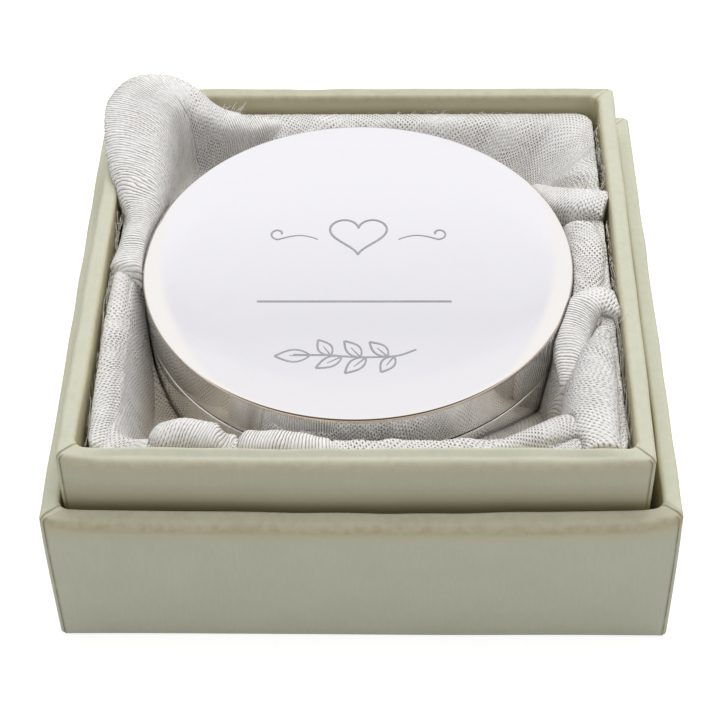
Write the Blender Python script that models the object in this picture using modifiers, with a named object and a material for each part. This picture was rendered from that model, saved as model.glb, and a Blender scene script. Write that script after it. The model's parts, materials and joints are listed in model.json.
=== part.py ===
"""Round metal trinket box lying in a gauze nest inside a paper-covered presentation box.

Metres, +Z up. The origin is the middle of the outer tray's underside, and -Y is the front.
The deep tray stands in the upturned shallow one, the nest stands in the deep tray, and the round
box lies in the nest with its lift-off lid on.
"""

import math

import bmesh
import bpy
import numpy as np

# Round metal box
box_radius = 0.0275
base_height = 0.0169
lid_height = 0.0062
metal = 0.0008
metal_inner_round = 0.0006
base_edge_round = 0.0011
lid_edge_round = 0.00045
lid_shoulder_width = 0.0022
lid_shoulder_drop = 0.00012
mouth_round = 0.0002
box_shift_x = -0.0005
box_shift_y = 0.0004

# Neck ring and linings
ring_metal = 0.0005
ring_rise = 0.0030
velvet = 0.0005
pad_card = 0.0006
pad_turn_under = 0.0050
pad_round = 0.0004
lining_below_ring = 0.0006

# Card frame and gauze of the nest
nest_room = 0.0034
frame_height = 0.0223
frame_card = 0.0006
frame_corner = 0.0015
gauze = 0.0004
gauze_corner = 0.0034
gauze_skirt = 0.0055
gauze_hollow = 0.0105
gauze_foot_rise = 0.0008
puff_rise = 0.0088
puff_lean = 0.0008

# Board, paper and the tape over the board's corners
board = 0.0014
paper = 0.00015
glue_line = 0.00015
tape_room = 0.0003
tape = 0.00012
tape_width = 0.009
tape_inset = 0.0012
tape_corner = 0.0003
rim_round = 0.0006
foot_round = 0.0005
wrap_corner = 0.0006
wrap_inner_corner = 0.0003

# Paper-covered trays
outer_height = 0.0220
inner_height = 0.02735
inner_shift_y = 0.00027

# Running gaps
rest_gap = 0.0003
slide_gap = 0.0003
seam_gap = 0.0003
metal_to_gauze = 0.00035
frame_to_tray = 0.0016
tray_to_tray = 0.0009

# Counts
round_steps = 64
arc_steps = 3
gauze_side_steps = 14

# Puffs and dips of the gauze, as shares: bearing and width of a full turn, place and reach of the
# way from the metal to the frame, and rise of the highest puff
fold_shares = (
    (0.3780, 0.0360, 0.95, 0.60, 1.00),
    (0.4140, 0.0160, 1.00, 0.40, 0.34),
    (0.3390, 0.0140, 0.80, 0.30, 0.12),
    (0.4500, 0.0140, 0.70, 0.50, -0.10),
    (0.6570, 0.0150, 0.86, 0.60, 0.30),
    (0.6760, 0.0080, 0.90, 0.60, -0.16),
    (0.6960, 0.0120, 0.90, 0.60, 0.12),
    (0.8560, 0.0190, 0.90, 0.50, 0.30),
    (0.8980, 0.0160, 0.70, 0.50, 0.22),
    (0.9270, 0.0150, 0.90, 0.60, 0.30),
    (0.9500, 0.0080, 0.70, 0.50, -0.10),
    (0.9740, 0.0120, 0.80, 0.60, 0.14),
    (0.0700, 0.0120, 0.60, 0.60, 0.16),
    (0.0300, 0.0160, 0.60, 0.60, -0.08),
)
# Where the hollow beside the metal is filled up: bearing and width of a full turn, and share of
# the hollow's depth
hollow_shares = (
    (0.740, 0.060, 0.75),
    (0.130, 0.060, 0.35),
    (0.290, 0.080, 0.70),
    (0.020, 0.050, 0.45),
)
gauze_way_shares = (0.0, 0.30, 0.62, 1.0)
edge_puff_share = 0.8

# Sides of the trays and the frame, each worked out from what it holds
wall = paper + tape_room + board + glue_line + paper
frame_half = box_radius + nest_room
inner_half = frame_half + frame_to_tray + wall
outer_half = inner_half + tray_to_tray + wall

# Stack of levels, worked out from the sizes above
outer_floor_top = paper + tape_room + board
inner_bottom = outer_floor_top + rest_gap
inner_floor_top = inner_bottom + paper + tape_room + board
nest_bottom = inner_floor_top + rest_gap
gauze_floor_top = nest_bottom + gauze
box_bottom = gauze_floor_top + rest_gap
base_top = box_bottom + base_height
lid_bottom = base_top + seam_gap
lid_top = lid_bottom + lid_height
frame_top = nest_bottom + frame_height
gauze_crest = frame_top + rest_gap + gauze

# Radii of the round box, worked out from the sizes above
metal_inner_radius = box_radius - metal
ring_radius = metal_inner_radius - slide_gap
ring_inner_radius = ring_radius - ring_metal
pad_radius = ring_inner_radius - slide_gap
lid_pad_radius = metal_inner_radius - slide_gap
lining_radius = ring_inner_radius - slide_gap
pad_height = velvet + glue_line + pad_card + glue_line + velvet
base_floor_top = box_bottom + metal
base_pad_bottom = base_floor_top + rest_gap
base_pad_top = base_pad_bottom + pad_height
ring_bottom = base_floor_top + rest_gap
ring_top = base_top + ring_rise
lid_pad_top = lid_top - metal - rest_gap
lid_pad_bottom = lid_pad_top - pad_height


def clear_scene():
    """Remove whatever the file opened with."""
    for item in list(bpy.data.objects):
        bpy.data.objects.remove(item, do_unlink=True)


def make_material(name, color, roughness, metallic=0.0):
    """A Principled material of one colour, roughness and metallic value."""
    material = bpy.data.materials.new(name)
    material.use_nodes = True
    shader = material.node_tree.nodes["Principled BSDF"]
    shader.inputs["Base Color"].default_value = (*color, 1.0)
    shader.inputs["Roughness"].default_value = roughness
    shader.inputs["Metallic"].default_value = metallic
    return material


def add_object(name, mesh, material, collection, parent):
    """Put a mesh or curve in the collection, under its body's empty, and leave it in place."""
    item = bpy.data.objects.new(name, mesh)
    collection.objects.link(item)
    item.data.materials.append(material)
    item.parent = parent
    item.matrix_parent_inverse = parent.matrix_world.inverted()
    return item


def add_body(name, x, y, z, collection, parent=None):
    """An empty on a body's slide axis, at the height of the face that it rests on."""
    body = bpy.data.objects.new(name, None)
    collection.objects.link(body)
    body.parent = parent
    start = parent.matrix_world.translation if parent else (0.0, 0.0, 0.0)
    body.location = (x - start[0], y - start[1], z - start[2])
    bpy.context.view_layer.update()
    return body


def arc(across, up, radius, start_deg, end_deg, steps=arc_steps):
    """Points of an arc in the profile plane, both ends included."""
    angles = np.radians(np.linspace(start_deg, end_deg, steps + 1))
    return [(across + radius * math.cos(a), up + radius * math.sin(a)) for a in angles]


def rounded_square(half, corner, side_steps=1):
    """Outline of a square with round corners, counter-clockwise from the lower end of +X's side.

    Outlines with the same steps have the same count of points, so that unlike ones can be joined
    point to point.
    """
    straight = half - corner
    along = np.linspace(-straight, straight, side_steps + 1)[:-1]
    side = [(half, y) for y in along]
    quarter = np.array(side + arc(straight, straight, corner, 0.0, 90.0)[:-1])
    turns = []
    for cosine, sine in ((1, 0), (0, 1), (-1, 0), (0, -1)):
        turns.append(quarter @ np.array([[cosine, sine], [-sine, cosine]]))
    return np.concatenate(turns)


def loft(name, rings, pole=None):
    """Open surface through closed rings of equal count, started at a pole or ended by a face.

    Its faces look up where the rings widen, and outwards where they go down.
    """
    mesh = bpy.data.meshes.new(name)
    shape = bmesh.new()
    rows = [[shape.verts.new(point) for point in ring] for ring in rings]
    count = len(rows[0])
    for here, beyond in zip(rows[:-1], rows[1:]):
        for i in range(count):
            j = (i + 1) % count
            shape.faces.new((here[i], beyond[i], beyond[j], here[j]))
    if pole is None:
        shape.faces.new(list(reversed(rows[-1])))
    else:
        tip = shape.verts.new(pole)
        for i in range(count):
            shape.faces.new((tip, rows[0][i], rows[0][(i + 1) % count]))
    shape.to_mesh(mesh)
    shape.free()
    return mesh


def thicken(item, thickness, even=True):
    """Give an open surface its wall, behind the side that its faces look to."""
    wall = item.modifiers.new("wall", "SOLIDIFY")
    wall.thickness = thickness
    wall.offset = -1.0
    wall.use_even_offset = even
    return item


def turned(name, profile, material, collection, parent, closed=False):
    """Turn a profile round the round box's axis. It runs down its outer side, top to bottom."""
    mesh = bpy.data.meshes.new(name)
    edges = [(i, i + 1) for i in range(len(profile) - 1)]
    if closed:
        edges.append((len(profile) - 1, 0))
    mesh.from_pydata([(x, 0.0, z) for x, z in profile], edges, [])
    item = add_object(name, mesh, material, collection, parent)
    item.matrix_parent_inverse.identity()
    item.location = (0.0, 0.0, -parent.matrix_world.translation.z)
    screw = item.modifiers.new("turn", "SCREW")
    screw.axis = "Z"
    screw.steps = round_steps
    screw.render_steps = round_steps
    screw.use_merge_vertices = True
    screw.merge_threshold = 0.00001
    screw.use_smooth_shade = True
    return item


def tray_board(name, tray_half, bottom, height, shift_y, material, collection, parent):
    """Scored board folded up into a floor and four walls, inside its paper."""
    half = tray_half - paper - tape_room
    low = bottom + paper + tape_room
    high = bottom + height - paper - tape_room
    mesh = bpy.data.meshes.new(name)
    shape = bmesh.new()
    bmesh.ops.create_cube(shape, size=1.0)
    for vert in shape.verts:
        vert.co.x *= 2 * half
        vert.co.y = vert.co.y * 2 * half + shift_y
        vert.co.z = low if vert.co.z < 0.0 else high
    top = [face for face in shape.faces if face.normal.z > 0.5]
    bmesh.ops.delete(shape, geom=top, context="FACES_ONLY")
    shape.to_mesh(mesh)
    shape.free()
    return thicken(add_object(name, mesh, material, collection, parent), board)


def corner_tape(name, turn, tray_half, bottom, height, shift_y, material, collection, parent):
    """Strip of paper tape folded round one upright corner of the board, under the wrap."""
    board_half = tray_half - paper - tape_room
    inside = board_half + (tape_room - tape) / 2
    outside = inside + tape
    run = inside - tape_width
    bend = outside - tape_corner
    strip = [(outside, run), *arc(bend, bend, tape_corner, 0.0, 90.0), (run, outside)]
    strip += [(run, inside), *arc(bend, bend, tape_corner - tape, 90.0, 0.0), (inside, run)]
    low = bottom + paper + tape_room + tape_inset
    high = bottom + height - paper - tape_room - tape_inset
    curve = bpy.data.curves.new(name, "CURVE")
    curve.dimensions = "2D"
    curve.fill_mode = "BOTH"
    curve.extrude = (high - low) / 2
    spline = curve.splines.new("POLY")
    spline.points.add(len(strip) - 1)
    for point, (x, y) in zip(spline.points, strip):
        point.co = (x, y, 0.0, 1.0)
    spline.use_cyclic_u = True
    item = add_object(name, curve, material, collection, parent)
    item.matrix_parent_inverse.identity()
    place = parent.matrix_world.translation
    item.location = (-place.x, shift_y - place.y, (low + high) / 2 - place.z)
    item.rotation_euler = (0.0, 0.0, turn * math.pi / 2)
    return item


def tray_wrap(name, half, bottom, height, shift_y, material, collection, parent):
    """One sheet of paper: turned in down the inside, over the rim, down outside and underneath."""
    inside = half - wall
    top = bottom + height
    turn_in = bottom + paper + tape_room + board + glue_line
    profile = [(inside, turn_in, wrap_inner_corner)]
    for across, up in arc(inside + rim_round, top - rim_round, rim_round, 180.0, 90.0):
        profile.append((across, up, wrap_inner_corner + across - inside))
    for across, up in arc(half - rim_round, top - rim_round, rim_round, 90.0, 0.0):
        profile.append((across, up, wrap_corner - (half - across)))
    for across, up in arc(half - foot_round, bottom + foot_round, foot_round, 0.0, -90.0):
        profile.append((across, up, wrap_corner - (half - across)))
    rings = []
    for across, up, corner in profile:
        outline = rounded_square(across, max(corner, paper))
        rings.append([(x, y + shift_y, up) for x, y in outline])
    mesh = loft(name, rings)
    return thicken(add_object(name, mesh, material, collection, parent), paper)


def card_frame(name, material, collection, parent):
    """Card strip bent to a round-cornered square, standing on the deep tray's floor."""
    outline = rounded_square(frame_half, frame_corner)
    mesh = bpy.data.meshes.new(name)
    shape = bmesh.new()
    rows = []
    for level in (nest_bottom, frame_top):
        rows.append([shape.verts.new((x, y + inner_shift_y, level)) for x, y in outline])
    count = len(outline)
    for i in range(count):
        j = (i + 1) % count
        shape.faces.new((rows[0][i], rows[0][j], rows[1][j], rows[1][i]))
    shape.to_mesh(mesh)
    shape.free()
    return thicken(add_object(name, mesh, material, collection, parent), frame_card)


def bump(distance, width):
    """A smooth hump of height one at no distance."""
    return np.exp(-((distance / width) ** 2))


def turn_distance(bearing, centre):
    """Least distance between bearings that are shares of a full turn."""
    return (bearing - centre + 0.5) % 1.0 - 0.5


def gauze_liner(name, material, collection, parent):
    """One square of gauze: under the box, up beside the metal and over the frame's edge.

    Rings run from the middle of the floor to the circle round the metal, up to the frame's edge
    and down the skirt outside it. Puffs rise where the cloth is bunched.
    """
    cover = rest_gap + gauze
    steps = gauze_side_steps
    outside = rounded_square(frame_half + cover, frame_corner + cover, steps)
    inside = rounded_square(frame_half - frame_card - cover, gauze_corner, steps)
    outside[:, 1] += inner_shift_y
    inside[:, 1] += inner_shift_y
    centre = np.array([box_shift_x, box_shift_y])
    bearing = np.arctan2(outside[:, 1] - centre[1], outside[:, 0] - centre[0])
    near_radius = box_radius + metal_to_gauze
    circle = np.stack([np.cos(bearing), np.sin(bearing)], axis=1)
    near = centre + near_radius * circle
    bearing_share = (bearing / math.tau) % 1.0

    filled = np.zeros(len(bearing))
    for place, width, share in hollow_shares:
        filled += share * bump(turn_distance(bearing_share, place), width)
    low = gauze_crest - gauze_hollow * (1.0 - np.clip(filled, 0.0, 1.0))

    def puff(way_share):
        rise = np.zeros(len(bearing))
        for place, width, way, reach, share in fold_shares:
            beside = bump(turn_distance(bearing_share, place), width)
            rise += share * beside * bump(way_share - way, reach)
        # At its edge the frame carries the cloth, so no dip goes below it there
        lowest = 0.0 if way_share == 1.0 else -1.0
        return puff_rise * np.clip(rise, lowest, 1.0)

    def ring(outline, height):
        return [(x, y, z) for (x, y), z in zip(outline, height)]

    foot = np.full(len(bearing), gauze_floor_top)
    rings = [
        ring(centre + (near_radius - gauze_foot_rise) * circle, foot),
        ring(near, foot + gauze_foot_rise),
    ]
    for way in gauze_way_shares:
        outline = near + (inside - near) * way
        smooth = way * way * (3.0 - 2.0 * way)
        height = low + (gauze_crest - low) * smooth + puff(way) * min(1.0, 2.0 * way)
        rings.append(ring(outline, height))
    lean = puff_lean * puff(1.0) / puff_rise
    crest = np.full(len(bearing), gauze_crest)
    rings.append(ring(outside + circle * lean[:, None], crest + puff(1.0) * edge_puff_share))
    rings.append(ring(outside, crest - gauze_skirt))
    mesh = loft(name, rings, pole=(centre[0], centre[1], gauze_floor_top))
    return thicken(add_object(name, mesh, material, collection, parent), gauze, even=False)


def base_shell(material, collection, parent):
    """Drawn metal cup with a round foot edge."""
    inner = metal_inner_radius
    top = base_top
    profile = [(0.0, base_floor_top)]
    profile += arc(inner - metal_inner_round, base_floor_top + metal_inner_round,
                   metal_inner_round, -90.0, 0.0)
    profile += arc(inner + mouth_round, top - mouth_round, mouth_round, 180.0, 90.0)
    profile += arc(box_radius - mouth_round, top - mouth_round, mouth_round, 90.0, 0.0)
    profile += arc(box_radius - base_edge_round, box_bottom + base_edge_round,
                   base_edge_round, 0.0, -90.0)
    profile.append((0.0, box_bottom))
    return turned("base_shell", profile, material, collection, parent)


def lid_shell(material, collection, parent):
    """Metal lid with a flat top, a faint shoulder, a small edge round and an open skirt."""
    inner = metal_inner_radius
    edge_top = lid_top - lid_shoulder_drop
    profile = [(0.0, lid_top), (box_radius - lid_edge_round - lid_shoulder_width, lid_top)]
    profile.append((box_radius - lid_edge_round - lid_shoulder_width / 2,
                    lid_top - lid_shoulder_drop / 4))
    profile += arc(box_radius - lid_edge_round, edge_top - lid_edge_round,
                   lid_edge_round, 90.0, 0.0)
    profile += arc(box_radius - mouth_round, lid_bottom + mouth_round, mouth_round, 0.0, -90.0)
    profile += arc(inner + mouth_round, lid_bottom + mouth_round, mouth_round, -90.0, -180.0)
    under = lid_top - metal
    profile += arc(inner - metal_inner_round, under - metal_inner_round,
                   metal_inner_round, 0.0, 90.0)
    profile.append((0.0, under))
    return turned("lid_shell", profile, material, collection, parent)


def neck_ring(material, collection, parent):
    """Thin ring that stands inside the base and guides the lid's skirt."""
    lead = ring_metal / 2
    profile = [(ring_inner_radius, ring_top), (ring_radius - lead, ring_top)]
    profile += [(ring_radius, ring_top - ring_metal), (ring_radius, ring_bottom)]
    profile.append((ring_inner_radius, ring_bottom))
    return turned("neck_ring", profile, material, collection, parent, closed=True)


def wall_lining(material, collection, parent):
    """Velvet strip round the inside of the neck ring, standing on the base pad."""
    low = base_pad_top + rest_gap
    high = ring_top - lining_below_ring
    inside = lining_radius - velvet
    profile = [(inside, high), (lining_radius, high), (lining_radius, low), (inside, low)]
    return turned("base_wall_lining", profile, material, collection, parent, closed=True)


def pad_velvet(name, radius, face, back, material, collection, parent):
    """Velvet over a card disc, turned round its edge and glued under it.

    The face is the level of the pile, and the back is the level that is stuck to the metal.
    """
    way = 1.0 if face > back else -1.0
    edge = radius - pad_round
    profile = [(0.0, face)]
    profile += [(across, face - way * (pad_round - up))
                for across, up in arc(edge, 0.0, pad_round, 90.0, 0.0)]
    profile += [(radius, back), (radius - pad_turn_under, back)]
    profile += [(radius - pad_turn_under, back + way * velvet)]
    profile += [(radius - velvet, back + way * velvet), (radius - velvet, face - way * velvet)]
    profile.append((0.0, face - way * velvet))
    if way < 0.0:
        profile.reverse()
    return turned(name, profile, material, collection, parent)


def pad_board(name, radius, face, back, material, collection, parent):
    """Card disc inside its velvet."""
    way = 1.0 if face > back else -1.0
    levels = (face - way * (velvet + glue_line), back + way * (velvet + glue_line))
    across = radius - velvet - glue_line
    high = max(levels)
    low = min(levels)
    profile = [(0.0, high), (across, high), (across, low), (0.0, low)]
    return turned(name, profile, material, collection, parent)


def main():
    """Build every piece of the trinket box and its presentation box."""
    clear_scene()
    pieces = bpy.data.collections.new("trinket_box")
    bpy.context.scene.collection.children.link(pieces)

    sage = make_material("sage_paper", (0.60, 0.61, 0.50), 0.62)
    grey_board = make_material("grey_board", (0.36, 0.34, 0.30), 0.9)
    kraft = make_material("kraft_tape", (0.55, 0.43, 0.29), 0.8)
    white_card = make_material("white_card", (0.78, 0.77, 0.73), 0.8)
    cloth = make_material("white_gauze", (0.80, 0.79, 0.77), 0.9)
    silver = make_material("silver_plate", (0.90, 0.89, 0.87), 0.06, 1.0)
    pile = make_material("dark_velvet", (0.02, 0.02, 0.03), 0.95)

    outer = add_body("outer_tray", 0.0, 0.0, 0.0, pieces)
    inner = add_body("inner_tray", 0.0, inner_shift_y, inner_bottom, pieces, outer)
    nest = add_body("nest", 0.0, inner_shift_y, nest_bottom, pieces, inner)
    base = add_body("round_base", box_shift_x, box_shift_y, box_bottom, pieces, nest)
    lid = add_body("lid", box_shift_x, box_shift_y, lid_bottom, pieces, base)

    for prefix, half, bottom, height, shift, body in (
        ("outer", outer_half, 0.0, outer_height, 0.0, outer),
        ("inner", inner_half, inner_bottom, inner_height, inner_shift_y, inner),
    ):
        tray_board(prefix + "_board", half, bottom, height, shift, grey_board, pieces, body)
        for turn, corner in enumerate(("back_right", "back_left", "front_left", "front_right")):
            name = prefix + "_corner_tape_" + corner
            corner_tape(name, turn, half, bottom, height, shift, kraft, pieces, body)
        tray_wrap(prefix + "_wrap", half, bottom, height, shift, sage, pieces, body)

    card_frame("nest_frame", white_card, pieces, nest)
    gauze_liner("gauze_liner", cloth, pieces, nest)

    base_shell(silver, pieces, base)
    neck_ring(silver, pieces, base)
    pad_velvet("base_pad_velvet", pad_radius, base_pad_top, base_pad_bottom, pile, pieces, base)
    pad_board("base_pad_card", pad_radius, base_pad_top, base_pad_bottom, white_card, pieces, base)
    wall_lining(pile, pieces, base)

    lid_shell(silver, pieces, lid)
    pad_velvet("lid_pad_velvet", lid_pad_radius, lid_pad_bottom, lid_pad_top, pile, pieces, lid)
    pad_board("lid_pad_card", lid_pad_radius, lid_pad_bottom, lid_pad_top, white_card, pieces, lid)


main()
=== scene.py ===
"""Dress the round keepsake box, its gauze nest and its paper-covered trays for the library.

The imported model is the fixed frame: every size here starts from the box of one of its nodes.
Lengths are metres, but millimetres in the tables of folds, levels and frayed runs. +Z is up, and
-Y is the front of the presentation box.
"""

import json
import logging
import math
from dataclasses import dataclass, field
from enum import Enum

import bmesh
import bpy
import numpy as np
from mathutils import Matrix, Vector


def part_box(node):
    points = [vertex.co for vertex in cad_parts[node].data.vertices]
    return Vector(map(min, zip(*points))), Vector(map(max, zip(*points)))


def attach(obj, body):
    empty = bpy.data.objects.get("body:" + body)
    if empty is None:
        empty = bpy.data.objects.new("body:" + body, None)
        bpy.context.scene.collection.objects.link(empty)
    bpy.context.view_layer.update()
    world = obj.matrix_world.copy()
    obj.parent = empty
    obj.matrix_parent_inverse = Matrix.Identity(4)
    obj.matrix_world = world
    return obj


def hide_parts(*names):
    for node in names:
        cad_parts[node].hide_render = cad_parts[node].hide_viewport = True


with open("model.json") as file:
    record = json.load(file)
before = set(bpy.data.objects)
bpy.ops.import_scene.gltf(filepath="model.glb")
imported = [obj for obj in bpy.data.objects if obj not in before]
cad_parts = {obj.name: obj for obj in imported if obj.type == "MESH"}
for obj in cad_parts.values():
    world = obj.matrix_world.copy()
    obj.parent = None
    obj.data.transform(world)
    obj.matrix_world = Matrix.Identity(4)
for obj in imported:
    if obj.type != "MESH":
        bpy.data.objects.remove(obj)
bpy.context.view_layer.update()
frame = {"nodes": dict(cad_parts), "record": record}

LOG = logging.getLogger("trinket_box")
PIXELS = 720
MILLIMETRE = 0.001
TAU = 2.0 * math.pi
SEGMENTS = 320

Colour = tuple[float, float, float]
Point = tuple[float, float]
Triple = tuple[float, float, float]
Plane = tuple[Triple, Triple]
Item = bpy.types.Object
Material = bpy.types.Material
Socket = bpy.types.NodeSocket


class Slot(Enum):
    """Material slots of the record."""

    PAPER = "sage_paper"
    BOARD = "grey_board"
    TAPE = "kraft_tape"
    CARD = "white_card"
    GAUZE = "white_gauze"
    SILVER = "silver_plate"
    VELVET = "dark_velvet"


class Body(Enum):
    """Bodies of the frame."""

    OUTER_TRAY = "outer_tray"
    INNER_TRAY = "inner_tray"
    NEST = "nest"
    ROUND_BASE = "round_base"
    LID = "lid"


# Array formulas


def smooth_step(value: np.ndarray) -> np.ndarray:
    """Rise from 0 to 1 with level ends: 3x^2 - 2x^3 on x held between 0 and 1."""
    held = np.clip(value, 0.0, 1.0)
    return held * held * (3.0 - 2.0 * held)


def hump(distance: np.ndarray, width: np.ndarray | float) -> np.ndarray:
    """A bell of height 1 at no distance: exp(-(distance / width)^2)."""
    return np.exp(-np.square(distance / width))


def closed_noise(share: np.ndarray, waves: tuple[int, int], seed: int) -> np.ndarray:
    """Smooth noise that closes after one turn.

    Formula: the sum over whole counts k of sin(2 pi (k share + phase)), times sqrt(2 / count).

    Args:
        share: Places on the closed path, from 0 to 1.
        waves: Lowest and highest count of waves in a turn.
        seed: Seed of the phases.

    Returns:
        Values of unit spread.
    """
    counts = np.arange(waves[0], waves[1] + 1)
    phase = np.random.default_rng(seed).random(len(counts))
    angle = TAU * (share[..., None] * counts + phase)
    return np.sin(angle).sum(-1) * math.sqrt(2.0 / len(counts))


def arc(centre: Point, radius: float, start: float, end: float, steps: int) -> np.ndarray:
    """Points of an arc in the profile plane: centre + radius (cos a, sin a), ends included."""
    angle = np.radians(np.linspace(start, end, steps + 1))
    return np.stack([centre[0] + radius * np.cos(angle), centre[1] + radius * np.sin(angle)], 1)


def line(start: Point, end: Point, steps: int) -> np.ndarray:
    """Evenly spaced points of a straight run, without its last one."""
    return np.linspace(start, end, steps + 1)[:-1]


def smooth_line(points: tuple[tuple[float, ...], ...], count: int) -> np.ndarray:
    """Smooth line through points.

    Formula: cubic pieces, whose slopes at a point come from its neighbours.

    Args:
        points: The points, of any number of values each.
        count: How many places the line gets.

    Returns:
        The places. The last stops a hair short of the last point, so that it has a piece.
    """
    knots = np.array(points)
    slopes = np.gradient(knots, axis=0)
    where = np.linspace(0.0, len(knots) - 1.000001, count)
    piece = where.astype(int)
    t = (where - piece)[:, None]
    return (
        (2 * t**3 - 3 * t**2 + 1) * knots[piece]
        + (t**3 - 2 * t**2 + t) * slopes[piece]
        + (3 * t**2 - 2 * t**3) * knots[piece + 1]
        + (t**3 - t**2) * slopes[piece + 1]
    )


# Meshes


def place_of(node: str) -> tuple[np.ndarray, float, float, float]:
    """Middle from above, half the width, lowest and highest level of a CAD node."""
    low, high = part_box(node)
    return np.array([low.x + high.x, low.y + high.y]) / 2.0, (high.x - low.x) / 2.0, low.z, high.z


def stand(name: str, data: bpy.types.ID) -> Item:
    """Put new data in the scene.

    Args:
        name: Name of the object.
        data: Its mesh, lens or lamp.

    Returns:
        The object, at the origin.
    """
    item = bpy.data.objects.new(name, data)
    bpy.context.scene.collection.objects.link(item)
    return item


def mesh_item(name: str, places: np.ndarray, faces: list[list[int]]) -> Item:
    """Make a mesh object.

    Args:
        name: Name of the object.
        places: Places of its vertices, the last axis of size three.
        faces: Vertex numbers of each face.

    Returns:
        The object, flat shaded.
    """
    mesh = bpy.data.meshes.new(name)
    mesh.from_pydata(places.reshape(-1, 3).tolist(), [], faces)
    return stand(name, mesh)


def quads_of(index: np.ndarray) -> np.ndarray:
    """Faces between neighbouring rows and columns of a grid of vertex numbers."""
    corners = index[:-1, :-1], index[:-1, 1:], index[1:, 1:], index[1:, :-1]
    return np.stack([c.ravel() for c in corners], 1)


def surface(
    name: str, points: np.ndarray, around: bool = False, along: bool = False, flip: bool = False
) -> Item:
    """Make a mesh object from a grid of points.

    Formula: vertex (i, j) is points[i, j], and face (i, j) joins it to its neighbours in the next
    row and the next column. A wrapped direction joins its last line to its first.

    Args:
        name: Name of the object.
        points: Grid of places, of shape rows by columns by three.
        around: Whether the columns wrap.
        along: Whether the rows wrap.
        flip: Whether to turn the faces over.

    Returns:
        The object, smooth shaded.
    """
    rows, columns = points.shape[:2]
    index = np.arange(rows * columns).reshape(rows, columns)
    quads = quads_of(np.pad(index, ((0, int(along)), (0, int(around))), "wrap"))
    item = mesh_item(name, points, (quads[:, ::-1] if flip else quads).tolist())
    item.data.shade_smooth()
    return item


def merge(mesh: bpy.types.Mesh, distance: float = 1e-6, cuts: tuple[Plane, ...] = ()) -> None:
    """Merge vertices that lie together, as at a pole, then cut the faces along planes.

    Args:
        mesh: The mesh, changed in place.
        distance: Distance under which vertices are merged.
        cuts: A place and a normal for each plane.
    """
    shape = bmesh.new()
    shape.from_mesh(mesh)
    bmesh.ops.remove_doubles(shape, verts=shape.verts, dist=distance)
    for place, normal in cuts:
        parts = shape.verts[:] + shape.edges[:] + shape.faces[:]
        bmesh.ops.bisect_plane(shape, geom=parts, plane_co=place, plane_no=normal)
    shape.to_mesh(mesh)
    shape.free()


def places_in(mesh: bpy.types.Mesh) -> np.ndarray:
    """Read the places of a mesh's vertices.

    Args:
        mesh: The mesh.

    Returns:
        The places, of shape count by three.
    """
    spot = np.empty(len(mesh.vertices) * 3)
    mesh.vertices.foreach_get("co", spot)
    return spot.reshape(-1, 3)


def paint(item: Item, name: str, values: np.ndarray) -> None:
    """Keep one number for each vertex of a mesh as a named attribute."""
    mark = item.data.attributes.new(name, "FLOAT", "POINT")
    mark.data.foreach_set("value", values.astype(np.float32).ravel())


def unwrap(item: Item, name: str, flat: np.ndarray) -> None:
    """Give a grid mesh a UV map.

    Formula: each face corner takes the flat place of its vertex, and a corner past the seam takes
    the place one whole width further, so that the pattern runs on over the seam.

    Args:
        item: Mesh made by surface with wrapped columns.
        name: Name of the UV map.
        flat: Flat places of the grid, of shape rows by columns plus one by two.
    """
    order = quads_of(np.arange(flat[..., 0].size).reshape(flat.shape[:2])).ravel()
    layer = item.data.uv_layers.new(name=name)
    layer.data.foreach_set("uv", flat.reshape(-1, 2)[order].astype(np.float32).ravel())


def thicken(item: Item, thickness: float) -> None:
    """Close an open surface's pole and give it its wall, behind the side that its faces look to.

    Args:
        item: The surface.
        thickness: Thickness of the wall.
    """
    merge(item.data)
    wall = item.modifiers.new("wall", "SOLIDIFY")
    wall.thickness = thickness
    wall.offset = -1.0


def revolve(name: str, profile: np.ndarray, centre: np.ndarray, closed: bool = False) -> Item:
    """Turn a profile round an upright axis.

    Formula: point (r, z) at angle a goes to (centre x + r cos a, centre y + r sin a, z).

    Args:
        name: Name of the object.
        profile: Radii and heights, down the outer side, of shape count by two.
        centre: Where the axis stands.
        closed: Whether the profile is a loop, as of a ring.

    Returns:
        The turned object, its poles closed.
    """
    angle = np.linspace(0.0, TAU, SEGMENTS, endpoint=False)
    radius, height = profile[:, 0, None], profile[:, 1, None]
    x, y = centre[0] + radius * np.cos(angle), centre[1] + radius * np.sin(angle)
    grid = np.stack(np.broadcast_arrays(x, y, height), 2)
    item = surface(name, grid, around=True, along=closed, flip=True)
    merge(item.data, 1e-7)
    return item


def ribbons(name: str, strokes: list[np.ndarray], level: float, step: float = 6e-7) -> Item:
    """Flat strokes of an engraved drawing, all in one mesh.

    Formula: each stroke is a line of places with a width; its two borders lie half a width to
    either side along the line's normal in the plane. Each stroke lies a step above the last, so
    that strokes which cross don't share a plane.

    Args:
        name: Name of the object.
        strokes: Lines of x, y and width, each of shape count by three.
        level: Height of the lowest stroke.
        step: Height from one stroke to the next.

    Returns:
        The object, facing up.
    """
    places: list[np.ndarray] = []
    quads: list[np.ndarray] = []
    start = 0
    for stroke in strokes:
        way = np.gradient(stroke[:, :2], axis=0)
        way /= np.linalg.norm(way, axis=1, keepdims=True)
        side = np.stack([-way[:, 1], way[:, 0]], 1) * stroke[:, 2:] / 2.0
        both = np.stack([stroke[:, :2] + side, stroke[:, :2] - side], 1).reshape(-1, 2)
        places.append(np.column_stack([both, np.full(len(both), level + step * len(places))]))
        first = start + 2 * np.arange(len(stroke) - 1)
        quads.append(np.stack([first, first + 1, first + 3, first + 2], 1))
        start += len(both)
    return mesh_item(name, np.concatenate(places), np.concatenate(quads).tolist())


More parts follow.
